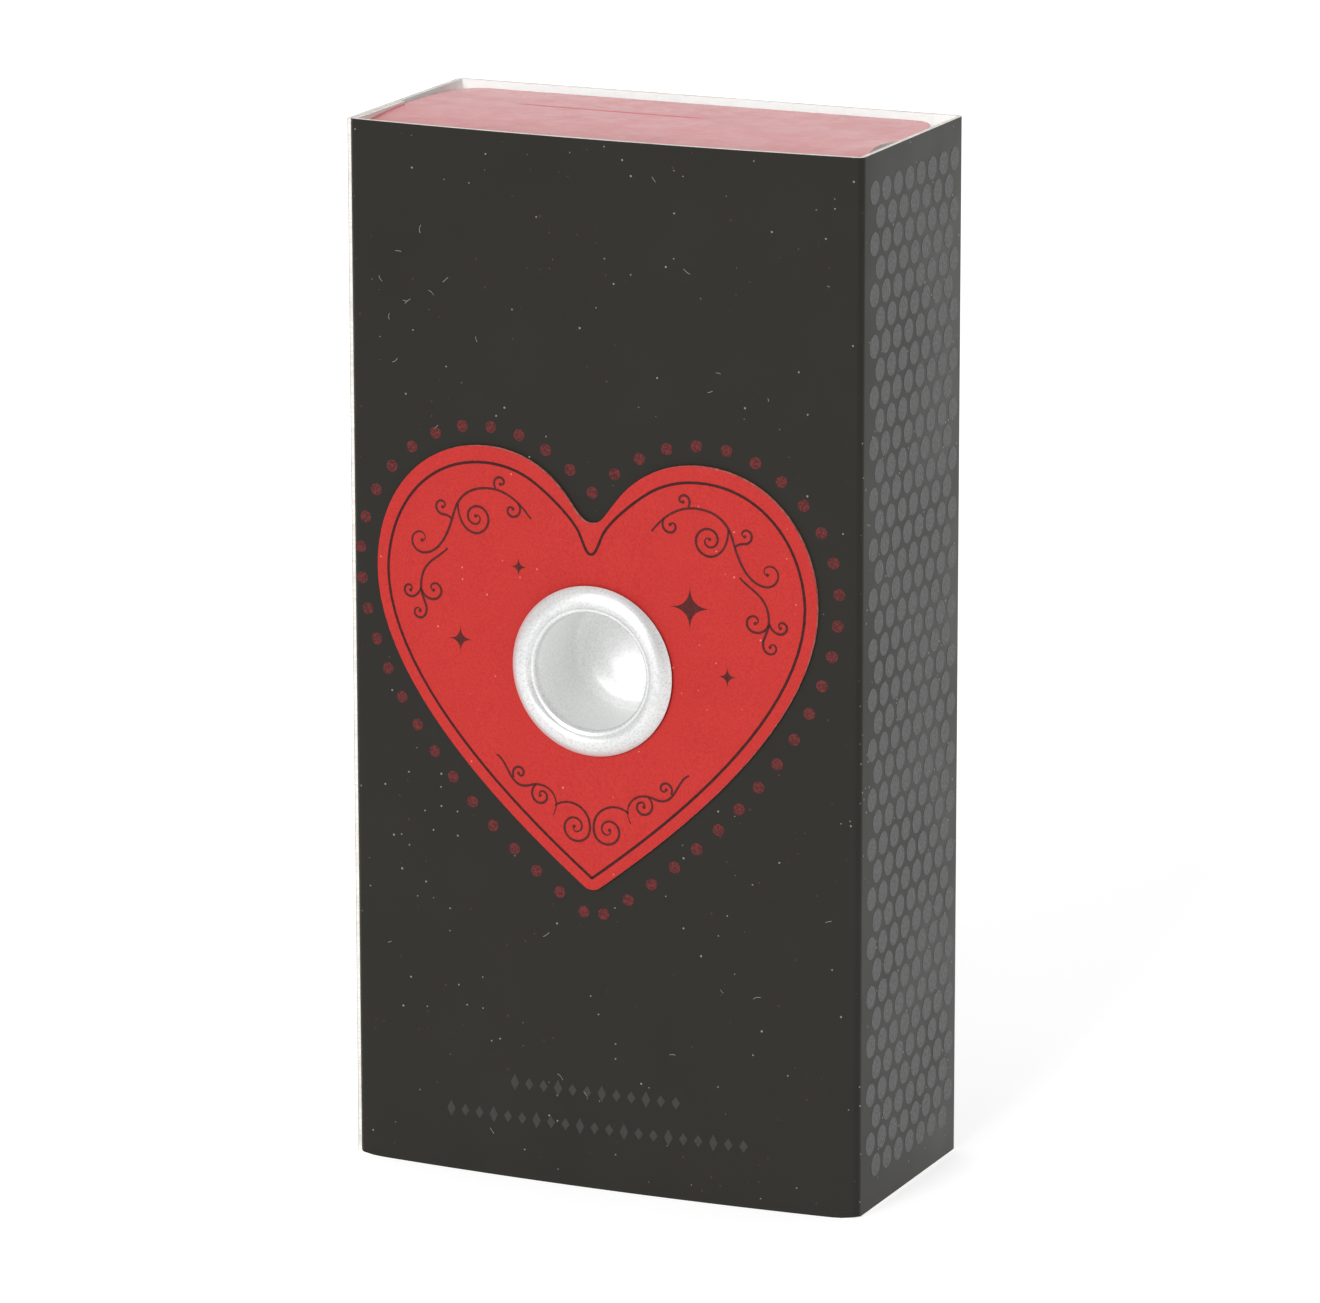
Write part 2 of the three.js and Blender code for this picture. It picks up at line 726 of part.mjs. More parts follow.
function governorPlate() {
  const [screwX, screwY] = GOVERNOR_PLATE_SCREW;
  const height = [FRAME_TOP + 0.05, FRAME_TOP + FRAME_SHEET];
  const sheet = joined([
    block([-2.4, 9.6], [1.8, 5.8], height),
    block([7, 15.2], [3.6, 9.3], height),
  ]);
  const screwHole = turnedUpright(rod(0.68, 0, HEIGHT), screwX, screwY, SMALL_ROUND);
  return cut(sheet, [...arborHoles(), screwHole]);
}

function lowerBearing() {
  const seat = PLATE_FRONT - 0.05;
  const [x, z] = BEARING_SCREW;
  const post = block([-3, 3], [2, seat], [9.7, 10.7]);
  const foot = block([-3, 3], [seat - FRAME_SHEET, seat], [5.8, 10]);
  const screwHole = turned(rod(SMALL_SCREW.shank + SHANK_GAP, 0, DEPTH), x, z, SMALL_ROUND);
  return cut(joined([post, foot]), [...arborHoles().slice(0, 1), screwHole]);
}

function comb() {
  const last = FIRST_NOTE + (NOTES - 1) * NOTE_PITCH;
  const low = FIRST_NOTE - NOTE_PITCH / 2;
  const high = last + NOTE_PITCH / 2;
  const rootAt = (z) => COMB_ROOTS + (COMB_TREBLE * (z - low)) / (high - low);
  const body = shapeOf([
    [COMB_BACK, low - 0.6],
    [rootAt(low), low - 0.6],
    [rootAt(high), high + 0.6],
    [COMB_BACK, high + 0.6],
  ]);
  const teeth = [];
  for (let note = 0; note < NOTES; note += 1) {
    const z = FIRST_NOTE + note * NOTE_PITCH;
    const half = (NOTE_PITCH - COMB_SLOT) / 2;
    teeth.push(block([rootAt(z) - 0.6, COMB_TIPS], COMB_TEETH_Y, [z - half, z + half]));
  }
  const holes = COMB_SCREWS.map(([x, z]) =>
    turned(rod(LARGE_SCREW.shank + SHANK_GAP, 0, DEPTH), x, z, SMALL_ROUND),
  );
  return cut(joined([upright(body, COMB_BODY_Y), ...teeth]), holes);
}

// The bedplate is cast: a plate with a ledge for the comb, a boss under the click and a stud for its spring.
function bedplate() {
  const face = [PLATE_FRONT, PLATE_BACK];
  const main = upright(roundedRectangle(-25.2, 21.2, 6, 55.2, 3), face, 4);
  const lobe = turned(rod(14, ...face), 0, 0, 32);
  const lug = upright(roundedRectangle(-3.4, 3.4, -17.9, -6, 3.3), face, 4);
  const ledge = block([COMB_BACK - 0.3, -17.8], [COMB_BODY_Y[1] + 0.05, PLATE_FRONT + 0.5], [17, 46]);
  const boss = turned(rod(1.6, RATCHET_Y[1] + 0.08, PLATE_BACK), ...CLICK_PIVOT, SMALL_ROUND);
  const stud = turned(rod(0.85, 7.8, PLATE_BACK), ...clickStud(), SMALL_ROUND);
  const studPad = turned(rod(3, ...face), ...clickStud(), SMALL_ROUND);
  const hole = (radius, [x, z], from = 0) => turned(rod(radius, from, DEPTH), x, z, SMALL_ROUND);
  const large = LARGE_SCREW.shank + SHANK_GAP;
  const small = SMALL_SCREW.shank + SHANK_GAP;
  return cut(joined([main, lobe, lug, ledge, boss, stud, studPad]), [
    turned(rod(3.05, 0, DEPTH), 0, 0, 24),
    ...PLATE_SCREWS.map((at) => hole(large, at)),
    ...COMB_SCREWS.map((at) => hole(large, at)),
    ...GOVERNOR_SCREWS.map((at) => hole(small, at)),
    hole(small, BEARING_SCREW),
    hole(small, CLICK_PIVOT),
  ]);
}

// ---------------------------------------------------------------- screws

// A slotted cheese-head screw along Y: its head stands in front of the seat, its shank ends at the back.
function screw({ head, headHeight, shank }, [x, z], seat, end) {
  const body = turned(
    [
      [0, seat - headHeight],
      [head - 0.15, seat - headHeight],
      [head, seat - headHeight + 0.15],
      [head, seat],
      [shank, seat],
      [shank, end],
      [0, end],
    ],
    0,
    0,
    SMALL_ROUND,
  );
  const slot = block([-head - 1, head + 1], [seat - headHeight - 1, seat - headHeight / 2], [-0.2, 0.2]);
  return cut(body, [slot.rotate([0, 25, 0])]).translate([x, 0, z]);
}

function governorPlateScrew() {
  const size = { head: 1.2, headHeight: 0.8, shank: 0.6 };
  const top = FRAME_TOP + FRAME_SHEET + 0.03;
  const [x, y] = GOVERNOR_PLATE_SCREW;
  return screw(size, [0, 0], 0, 3.2).rotate([-90, 0, 0]).translate([x, y, top]);
}

// ---------------------------------------------------------------- assembly

add(root, "sleeve", sleeve(), blackBoard);
add(root, "heart_panel", heartPanel(), redCard);
add(root, "inner_carton", innerCarton(), cartonRed);
add(root, "top_flap", topFlap(), cartonRed);
add(root, "mounting_board", mountingBoard(), greyBoard);

add(movement, "winding_cup", windingCup(), satinAluminium);
add(movement, "cup_bush", cupBush(), plastic);
add(movement, "arbor_bush", arborBush(), brass);
add(movement, "ratchet_wheel", ratchetWheel(), steel);
add(movement, "click", click(), steel);
add(movement, "click_spring", clickSpring(), springSteel);
add(movement, "click_screw", screw(SMALL_SCREW, CLICK_PIVOT, RATCHET_Y[0] - 0.05, PLATE_BACK - 0.2), steel);

add(movement, "spring_barrel", springBarrel(), brass);
add(movement, "barrel_cap", barrelCap(), brass);
add(movement, "mainspring", mainspring(), springSteel);

add(movement, "cylinder", cylinder(), brass);
add(movement, "cylinder_arbor", cylinderArbor(), steel);
add(movement, "cylinder_pinion", cylinderPinion(), steel);
add(movement, "cylinder_wheel", cylinderWheel(), brass);
add(movement, "idler_arbor", idlerArbor(), steel);
add(movement, "idler_pinion", idlerPinion(), steel);
add(movement, "worm_wheel", wormWheel(), plastic);
add(movement, "worm", worm(), steel);
add(movement, "fly", fly(), plastic);

add(movement, "bedplate", bedplate(), castZinc);
add(movement, "lower_bearing", lowerBearing(), brass);
add(movement, "governor_frame", governorFrame(), brass);
add(movement, "governor_plate", governorPlate(), brass);
add(movement, "comb", comb(), springSteel);

const frameSeat = PLATE_FRONT - 0.05 - FRAME_SHEET - 0.02;
PLATE_SCREWS.forEach((at, i) => {
  const shape = screw(LARGE_SCREW, at, PLATE_FRONT - 0.02, BOARD_BACK - 0.1);
  add(movement, `plate_screw_${i + 1}`, shape, steel);
});
COMB_SCREWS.forEach((at, i) => {
  const shape = screw(LARGE_SCREW, at, COMB_BODY_Y[0] - 0.02, 9);
  add(movement, `comb_screw_${i + 1}`, shape, steel);
});
GOVERNOR_SCREWS.forEach((at, i) => {
  add(movement, `governor_screw_${i + 1}`, screw(SMALL_SCREW, at, frameSeat, PLATE_BACK - 0.2), steel);
});
add(movement, "bearing_screw", screw(SMALL_SCREW, BEARING_SCREW, frameSeat, PLATE_BACK - 0.2), steel);
add(movement, "governor_plate_screw", governorPlateScrew(), steel);

export default root;
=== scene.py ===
# The looks of the wind-up music box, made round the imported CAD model.
# Shapes are worked out in millimetres in the CAD model's own frame and turned into metres as a mesh is made.
import json
import math
import random

import bmesh
import bpy
from mathutils import Matrix, Vector


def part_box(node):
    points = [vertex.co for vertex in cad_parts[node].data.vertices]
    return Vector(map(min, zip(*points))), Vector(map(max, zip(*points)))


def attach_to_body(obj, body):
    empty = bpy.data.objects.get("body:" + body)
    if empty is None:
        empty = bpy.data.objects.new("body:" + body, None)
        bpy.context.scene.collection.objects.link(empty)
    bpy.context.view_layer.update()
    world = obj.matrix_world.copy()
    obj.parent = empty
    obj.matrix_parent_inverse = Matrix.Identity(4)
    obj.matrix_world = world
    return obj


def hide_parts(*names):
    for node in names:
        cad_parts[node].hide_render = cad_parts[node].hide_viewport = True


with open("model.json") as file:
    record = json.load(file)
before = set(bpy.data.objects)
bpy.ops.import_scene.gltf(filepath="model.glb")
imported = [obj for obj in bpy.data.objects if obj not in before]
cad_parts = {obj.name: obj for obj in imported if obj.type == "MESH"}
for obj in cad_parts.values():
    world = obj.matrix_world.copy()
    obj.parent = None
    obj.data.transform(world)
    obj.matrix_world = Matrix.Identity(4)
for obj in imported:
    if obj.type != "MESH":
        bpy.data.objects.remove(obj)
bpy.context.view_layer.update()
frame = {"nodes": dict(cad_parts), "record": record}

MM = 0.001
SHARP_ANGLE = math.radians(32)


def corners(node):
    """A CAD node's lowest and highest corners at rest, in millimetres."""
    low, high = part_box(node)
    return low / MM, high / MM


# ------------ driving sizes, from the frame

CASE_LOW, CASE_HIGH = corners("sleeve")
HALF_WIDTH = CASE_HIGH.x
BACK = CASE_HIGH.y
TOP = CASE_HIGH.z
FRONT_BOW = -CASE_LOW.y - BACK

HEART_LOW, HEART_HIGH = corners("heart_panel")
HEART_X = (HEART_LOW.x + HEART_HIGH.x) / 2

CUP_LOW, CUP_HIGH = corners("winding_cup")
CUP_X = (CUP_LOW.x + CUP_HIGH.x) / 2
CUP_Z = (CUP_LOW.z + CUP_HIGH.z) / 2
CUP_FRONT = CUP_LOW.y
CUP_END = CUP_HIGH.y
FLANGE = (CUP_HIGH.x - CUP_LOW.x) / 2

CARTON_HIGH = corners("inner_carton")[1]
FLAP_LOW, FLAP_HIGH = corners("top_flap")
FLAP_HALF = FLAP_HIGH.x + 0.4

# Slip-case board
BOARD = 0.55
PRINT = 0.05
FOLD = 0.8
GLUE_FOLD = 0.45
GLUE_GAP = 0.02
GLUE_FLAP_END = -2
RAW_EDGE_Y = -BACK + 0.15
RAW_EDGE_SHARE = 0.72
RAW_EDGE_TAPER = 2.5
CASE_HOLE = 8

# Heart card, as lifts from the slip-case's front face
CARD_BACK = 0.05
CARD_FRONT = 0.45
CARD_EDGE = 0.13
INK_SINK = 0.01
INK_RISE = 0.014

# Carton card
CARD = 0.45
WALL_DROP = 0.5
CARTON_HOLE = 8.75

# The cutter of both holes
CUTTER_FRONT = -30
CUTTER_BACK = -5
HOLE_STEPS = 96


# ------------ shape helpers


def bow(x):
    """The slip-case's front face: it bulges most at its middle."""
    return -BACK - FRONT_BOW * (1 - (x / HALF_WIDTH) ** 2)


def bow_normal(x):
    return Vector((2 * FRONT_BOW * x / HALF_WIDTH**2, -1)).normalized()


def bezier(p0, p1, p2, p3, steps):
    """Points along a cubic curve, without its first one."""
    made = []
    for i in range(1, steps + 1):
        t = i / steps
        s = 1 - t
        made.append(
            s**3 * Vector(p0) + 3 * s * s * t * Vector(p1) + 3 * s * t * t * Vector(p2) + t**3 * Vector(p3)
        )
    return made


def chain(start, curves, steps):
    """Cubic curves end to end: each one gives two handles and its end."""
    points = [Vector(start)]
    for first, second, end in curves:
        points += bezier(points[-1], first, second, end, steps)
    return points


def rounded(points, radius, steps=4):
    """The same line with its inner corners rounded."""
    made = [Vector(points[0])]
    for before, corner, after in zip(points, points[1:], points[2:]):
        before, corner, after = Vector(before), Vector(corner), Vector(after)
        reach = min(radius, (before - corner).length * 0.45, (after - corner).length * 0.45)
        start = corner + (before - corner).normalized() * reach
        end = corner + (after - corner).normalized() * reach
        for i in range(steps + 1):
            t = i / steps
            made.append(start.lerp(corner, t).lerp(corner.lerp(end, t), t))
    made.append(Vector(points[-1]))
    return made


class Solid:
    """Points and faces gathered for one mesh, with a material number for each face."""

    def __init__(self):
        self.points = []
        self.faces = []
        self.kinds = []

    def add(self, points, faces, kind=0):
        """Adds points, and faces that count from the first of them."""
        start = len(self.points)
        self.points += points
        self.span(faces, kind, start)

    def span(self, faces, kind=0, start=0):
        """Adds faces between points that are there already."""
        self.faces += [[start + i for i in face] for face in faces]
        self.kinds += [kind] * len(faces)

    def piece(self, name, materials):
        mesh = bpy.data.meshes.new(name)
        mesh.from_pydata([Vector(p) * MM for p in self.points], [], self.faces)
        mesh.polygons.foreach_set("material_index", self.kinds)
        return show(mesh, name, materials)


def show(mesh, name, materials):
    """Puts a finished mesh in the scene: faces pointing out, smooth but for its sharp edges."""
    for material in materials:
        mesh.materials.append(material)
    outward = bmesh.new()
    outward.from_mesh(mesh)
    bmesh.ops.recalc_face_normals(outward, faces=outward.faces)
    outward.to_mesh(mesh)
    outward.free()
    mesh.shade_smooth()
    mesh.set_sharp_from_angle(angle=SHARP_ANGLE)
    made = bpy.data.objects.new(name, mesh)
    bpy.context.scene.collection.objects.link(made)
    return made


def turned(name, profile, materials, x, z, steps=144):
    """A profile of (radius, y) points, turned round the line along Y through x, z.

    The profile starts and ends on that line.
    """
    solid = Solid()
    rings = profile[1:-1]
    points = [(x, profile[0][1], z)]
    for radius, y in rings:
        for i in range(steps):
            angle = 2 * math.pi * i / steps
            points.append((x + radius * math.cos(angle), y, z + radius * math.sin(angle)))
    points.append((x, profile[-1][1], z))
    last = len(points) - 1
    faces = []
    for i in range(steps):
        j = (i + 1) % steps
        faces.append((0, 1 + i, 1 + j))
        faces.append((last, last - steps + j, last - steps + i))
        for ring in range(len(rings) - 1):
            a = 1 + ring * steps
            b = a + steps
            faces.append((a + i, b + i, b + j, a + j))
    solid.add(points, faces)
    return solid.piece(name, materials)


def cut(piece, cutter):
    """Cuts one piece with another, which is then removed. The cut faces take the cutter's material."""
    modifier = piece.modifiers.new("cut", "BOOLEAN")
    modifier.operation = "DIFFERENCE"
    modifier.solver = "EXACT"
    modifier.material_mode = "TRANSFER"
    modifier.object = cutter
    depsgraph = bpy.context.evaluated_depsgraph_get()
    mesh = bpy.data.meshes.new_from_object(piece.evaluated_get(depsgraph))
    piece.modifiers.clear()
    piece.data = mesh
    mesh.set_sharp_from_angle(angle=SHARP_ANGLE)
    bpy.data.objects.remove(cutter)
    return piece


def hole_cutter(name, radius, look):
    """A rod on the cup's axis, through the front of the box."""
    profile = [(0, CUTTER_FRONT), (radius, CUTTER_FRONT), (radius, CUTTER_BACK), (0, CUTTER_BACK)]
    return turned(name, profile, [look], CUP_X, CUP_Z, HOLE_STEPS)


# ------------ material helpers


class Look:
    """A procedural material in the making. Lengths in its textures are millimetres."""

    def __init__(self, name, roughness, metallic=0.0, **sockets):
        self.material = bpy.data.materials.new(name)
        self.material.use_nodes = True
        self.nodes = self.material.node_tree.nodes
        self.links = self.material.node_tree.links
        self.shader = self.nodes["Principled BSDF"]
        self.shader.inputs["Roughness"].default_value = roughness
        self.shader.inputs["Metallic"].default_value = metallic
        for socket, value in sockets.items():
            self.shader.inputs[socket.replace("_", " ")].default_value = value
        self.where = self.nodes.new("ShaderNodeTexCoord").outputs["Object"]

    def node(self, kind, inputs=(), **settings):
        made = self.nodes.new(kind)
        for name, value in settings.items():
            setattr(made, name, value)
        self.fill(made, dict(inputs))
        return made

    def fill(self, node, inputs):
        """Links each input to a socket, or sets it to a plain value."""
        for socket, value in inputs.items():
            if isinstance(value, bpy.types.NodeSocket):
                self.links.new(value, node.inputs[socket])
            else:
                node.inputs[socket].default_value = value

    def stretched(self, stretch):
        """Object coordinates in millimetres, divided along each axis by its stretch."""
        scale = [1 / (MM * s) for s in stretch]
        return self.node("ShaderNodeMapping", {"Vector": self.where, "Scale": scale}).outputs[0]

    def depth(self):
        """The place from front to back, in metres."""
        return self.node("ShaderNodeSeparateXYZ", {0: self.where}).outputs[1]

    def noise(self, size, detail=3.0, stretch=(1, 1, 1)):
        """Cloudy noise whose features are about size millimetres across."""
        inputs = {"Vector": self.stretched(stretch), "Scale": 1 / size, "Detail": detail}
        return self.node("ShaderNodeTexNoise", inputs).outputs["Fac"]

    def range(self, value, low, high, to_low=0.0, to_high=1.0):
        inputs = {0: value, 1: low, 2: high, 3: to_low, 4: to_high}
        return self.node("ShaderNodeMapRange", inputs, clamp=True).outputs[0]

    def math(self, operation, a, b=0.0):
        return self.node("ShaderNodeMath", {0: a, 1: b}, operation=operation).outputs[0]

    def specks(self, cell, radius, share, stretch=(1, 1, 1)):
        """A mask of small round specks: one in some of the cells, chosen by share."""
        inputs = {"Vector": self.stretched(stretch), "Scale": 1 / cell}
        cells = self.node("ShaderNodeTexVoronoi", inputs)
        chance = self.node("ShaderNodeSeparateColor", {0: cells.outputs["Color"]}).outputs[0]
        size = self.range(chance, 1 - share, 1.0, 0.0, radius / cell)
        return self.math("LESS_THAN", cells.outputs["Distance"], size)

    def mix(self, factor, first, second):
        """A colour between two others. Each of the three is a socket or a plain value."""
        factor_socket, first_socket, second_socket = 0, 6, 7
        colours = {first_socket: first, second_socket: second}
        inputs = {factor_socket: factor}
        for socket, value in colours.items():
            plain = not isinstance(value, bpy.types.NodeSocket)
            inputs[socket] = (*value, 1) if plain else value
        made = self.nodes.new("ShaderNodeMix")
        made.data_type = "RGBA"
        self.fill(made, inputs)
        return made.outputs[2]

    def colour(self, socket):
        self.links.new(socket, self.shader.inputs["Base Color"])

    def rough(self, socket):
        self.links.new(socket, self.shader.inputs["Roughness"])

    def bump(self, height, depth, strength=1.0):
        """Small relief: height goes from 0 to 1 and depth is in millimetres."""
        inputs = {"Height": height, "Distance": depth * MM, "Strength": strength}
        made = self.node("ShaderNodeBump", inputs)
        self.links.new(made.outputs[0], self.shader.inputs["Normal"])


def printed_black():
    """Black print under satin varnish, with specks of warm and pale dust."""
    look = Look("printed_black", 0.4, Specular_IOR_Level=0.22)
    cloud = look.noise(9, 4)
    ink = look.mix(cloud, (0.0100, 0.0092, 0.0060), (0.0150, 0.0138, 0.0098))
    warm = look.specks(1.1, 0.16, 0.3)
    ink = look.mix(look.math("MULTIPLY", warm, 0.5), ink, (0.085, 0.030, 0.018))
    dust = look.specks(1.0, 0.13, 0.3)
    ink = look.mix(look.math("MULTIPLY", dust, 0.6), ink, (0.32, 0.31, 0.28))
    look.colour(ink)
    look.rough(look.range(look.noise(14, 5), 0.3, 0.7, 0.36, 0.46))
    look.bump(look.noise(0.7, 4), 0.006, 0.5)
    return look.material


def spot_gloss():
    """Screened varnish dots: a little paler than the print under them."""
    look = Look("spot_gloss", 0.36, Specular_IOR_Level=0.4)
    grain = look.range(look.noise(0.3, 2), 0.42, 0.62)
    look.colour(look.mix(grain, (0.011, 0.0115, 0.0130), (0.040, 0.041, 0.044)))
    look.rough(look.range(look.noise(0.4, 2), 0.3, 0.7, 0.3, 0.44))
    look.bump(grain, 0.008, 0.6)
    return look.material


def white_board():
    """The unprinted side of the board: white, slightly fibrous."""
    look = Look("white_board", 0.75)
    fibre = look.noise(0.6, 5, (1, 1, 5))
    look.colour(look.mix(look.range(fibre, 0.3, 0.7), (0.94, 0.93, 0.92), (0.975, 0.97, 0.96)))
    look.bump(fibre, 0.02, 0.5)
    return look.material


def cut_board():
    """The board's cut edge: cream plies with a rough, slightly soiled face."""
    look = Look("cut_board", 0.85)
    plies = look.noise(0.16, 3, (6, 6, 1))
    soil = look.range(look.noise(2.4, 4), 0.45, 0.75)
    cream = look.mix(look.range(plies, 0.3, 0.7), (0.66, 0.63, 0.57), (0.85, 0.83, 0.78))
    look.colour(look.mix(look.math("MULTIPLY", soil, 0.45), cream, (0.46, 0.43, 0.38)))
    look.bump(plies, 0.03, 0.7)
    return look.material


def red_card():
    """Matte laminated red card with a fine tooth and a few pale specks."""
    look = Look("red_card", 0.62, Specular_IOR_Level=0.25)
    tooth = look.noise(0.22, 3)
    cloud = look.noise(5, 4)
    red = look.mix(cloud, (0.42, 0.017, 0.014), (0.47, 0.024, 0.019))
    red = look.mix(look.range(tooth, 0.42, 0.68, 0.0, 0.5), red, (0.32, 0.010, 0.008))
    pale = look.specks(1.0, 0.13, 0.3)
    look.colour(look.mix(look.math("MULTIPLY", pale, 0.4), red, (0.86, 0.32, 0.27)))
    look.rough(look.range(tooth, 0.3, 0.7, 0.56, 0.7))
    look.bump(tooth, 0.012, 0.7)
    return look.material


def card_edge():
    """The heart's pressed and cut edge: darker red, paler in noisy patches all round."""
    look = Look("card_edge", 0.6)
    # The edge's colour goes from dark red to pale pink in noisy patches.
    pale_patches = look.range(look.noise(0.5, 4), 0.35, 0.7)
    look.colour(look.mix(pale_patches, (0.48, 0.08, 0.068), (0.62, 0.28, 0.24)))
    look.bump(look.noise(0.15, 3), 0.02, 0.5)
    return look.material


def line_ink():
    """Dark red-brown line printing on the heart."""
    look = Look("line_ink", 0.6, Specular_IOR_Level=0.2)
    blotch = look.range(look.noise(0.35, 3), 0.3, 0.75)
    look.colour(look.mix(blotch, (0.020, 0.003, 0.003), (0.060, 0.008, 0.007)))
    look.bump(blotch, 0.008, 0.4)
    return look.material


def scroll_ink():
    """The same ink in fine lines, where the red shows through it."""
    look = Look("scroll_ink", 0.6, Specular_IOR_Level=0.2)
    blotch = look.range(look.noise(0.3, 3), 0.3, 0.75)
    look.colour(look.mix(blotch, (0.045, 0.006, 0.006), (0.105, 0.014, 0.013)))
    look.bump(blotch, 0.008, 0.4)
    return look.material


def ring_ink():
    """Maroon dots screened on black: the black shows through in points."""
    look = Look("ring_ink", 0.45, Specular_IOR_Level=0.25)
    screen = look.range(look.noise(0.22, 3), 0.42, 0.58)
    look.colour(look.mix(screen, (0.048, 0.006, 0.006), (0.125, 0.014, 0.014)))
    look.bump(screen, 0.006, 0.5)
    return look.material


def faint_ink():
    """Tone-on-tone marks that barely stand out from the black."""
    look = Look("faint_ink", 0.5)
    blotch = look.range(look.noise(0.3, 3), 0.35, 0.65)
    look.colour(look.mix(blotch, (0.0125, 0.0117, 0.0085), (0.0190, 0.0178, 0.0145)))
    look.bump(blotch, 0.005, 0.4)
    return look.material


def lint():
    """Dust fibres that lie on the print."""
    look = Look("lint", 0.8)
    look.colour(look.mix(look.noise(0.4, 2), (0.10, 0.10, 0.09), (0.30, 0.29, 0.27)))
    return look.material


def carton_red():
    """Semi-gloss red print on the carton, hazy from handling, and darker towards the flap's front fold with
    painted shade from the slip-case's front wall.
    """
    look = Look("carton_red", 0.3, Coat_Weight=0.75, Coat_Roughness=0.22)
    cloud = look.noise(7, 4, (2, 1, 1))
    red = look.mix(cloud, (0.50, 0.026, 0.034), (0.60, 0.038, 0.048))
    # Painted shade: the red darkens over the last few millimetres towards the flap's front fold and the
    # front of the box, standing in for the front wall's shadow.
    depth = look.depth()
    painted_shade_reach = 8
    near_fold = look.range(depth, (FLAP_LOW.y + painted_shade_reach) * MM, FLAP_LOW.y * MM, 0.0, 0.75)
    red = look.mix(near_fold, red, (0.40, 0.008, 0.014))
    haze = look.range(look.noise(1.2, 5), 0.5, 0.8, 0.0, 0.22)
    red = look.mix(haze, red, (0.78, 0.26, 0.28))
    dust = look.specks(2.6, 0.1, 0.3)
    look.colour(look.mix(look.math("MULTIPLY", dust, 0.4), red, (0.8, 0.5, 0.5)))
    look.rough(look.range(look.noise(3, 4), 0.3, 0.7, 0.27, 0.4))
    look.bump(look.noise(0.8, 4), 0.012, 0.6)
    return look.material


def blasted_aluminium():
    """Bead-blasted aluminium: grey grain on the flange; in the bore softer and less metallic, with a paler
    colour that is painted light brightening the hollow.
    """
    look = Look("blasted_aluminium", 0.42)
    depth = look.depth()
    bore_from, bore_by = 0.7, 1.6
    in_bore = look.range(depth, (CUP_FRONT + bore_from) * MM, (CUP_FRONT + bore_by) * MM)
    grain = look.noise(0.24, 3)
    cloud = look.noise(3, 3)
    silver = look.mix(look.range(cloud, 0.3, 0.7), (0.70, 0.705, 0.70), (0.76, 0.76, 0.75))
    dark = look.range(grain, 0.46, 0.64, 0.0, 0.6)
    flange = look.mix(dark, silver, (0.52, 0.53, 0.55))
    # Painted light: the bore takes a paler copy of the flange's colour, so the hollow looks brighter.
    painted_light_bore = look.mix(look.range(grain, 0.42, 0.6), (0.89, 0.895, 0.89), (0.80, 0.805, 0.80))
    look.colour(look.mix(in_bore, flange, painted_light_bore))
    flange_rough = look.range(grain, 0.3, 0.7, 0.34, 0.48)
    look.rough(look.math("MAXIMUM", flange_rough, look.math("MULTIPLY", in_bore, 0.54)))
    metallic = look.range(in_bore, 0.0, 1.0, 0.65, 0.5)
    look.links.new(metallic, look.shader.inputs["Metallic"])
    look.bump(grain, 0.018, 0.7)
    return look.material


def metal(name, dark, light, roughness, grain=(1, 1, 1), scratch=0.35):
    """Plain metal with a directional grain, a cloudy tone and small scratches."""
    look = Look(name, roughness, 1.0)
    brushed = look.noise(scratch, 4, grain)
    cloud = look.noise(2.5, 3)
    base = look.mix(look.range(cloud, 0.3, 0.7), dark, light)
    look.colour(look.mix(look.range(brushed, 0.55, 0.8, 0.0, 0.4), base, dark))
    look.rough(look.range(brushed, 0.3, 0.7, roughness - 0.06, roughness + 0.1))
    look.bump(brushed, 0.008, 0.5)
    return look.material


def blued_steel():
    """Tempered spring steel: blue with straw patches."""
    look = Look("blued_steel", 0.3, 1.0)
    heat = look.range(look.noise(4, 3), 0.35, 0.7)
    blue = look.mix(heat, (0.10, 0.13, 0.22), (0.22, 0.24, 0.28))
    straw = look.range(look.noise(6, 2), 0.62, 0.8, 0.0, 0.5)
    look.colour(look.mix(straw, blue, (0.36, 0.27, 0.14)))
    look.bump(look.noise(0.3, 3, (6, 1, 1)), 0.006, 0.5)
    return look.material


def cast_zinc():
    """Die-cast zinc alloy: dull grey with an orange-peel skin."""
    look = Look("cast_zinc", 0.5, 0.9)
    peel = look.noise(0.5, 4)
    cloud = look.range(look.noise(3.5, 4), 0.3, 0.7)
    look.colour(look.mix(cloud, (0.36, 0.37, 0.38), (0.50, 0.51, 0.52)))
    look.rough(look.range(peel, 0.3, 0.7, 0.42, 0.6))
    look.bump(peel, 0.03, 0.6)
    return look.material


def grey_board():
    """Raw grey chipboard: recycled pulp with coloured fibres."""
    look = Look("grey_board", 0.9)
    pulp = look.noise(0.9, 5)
    grey = look.mix(look.range(pulp, 0.3, 0.7), (0.27, 0.24, 0.20), (0.38, 0.34, 0.29))
    fibre = look.specks(1.3, 0.2, 0.3, (1, 1, 2.5))
    look.colour(look.mix(look.math("MULTIPLY", fibre, 0.4), grey, (0.16, 0.13, 0.11)))
    look.bump(pulp, 0.04, 0.7)
    return look.material


def black_plastic():
    """Moulded acetal with a fine satin spark finish."""
    look = Look("black_plastic", 0.45)
    spark = look.noise(0.2, 3)
    look.colour(look.mix(spark, (0.020, 0.020, 0.022), (0.036, 0.036, 0.039)))
    look.rough(look.range(spark, 0.3, 0.7, 0.38, 0.55))
    look.bump(spark, 0.01, 0.6)
    return look.material


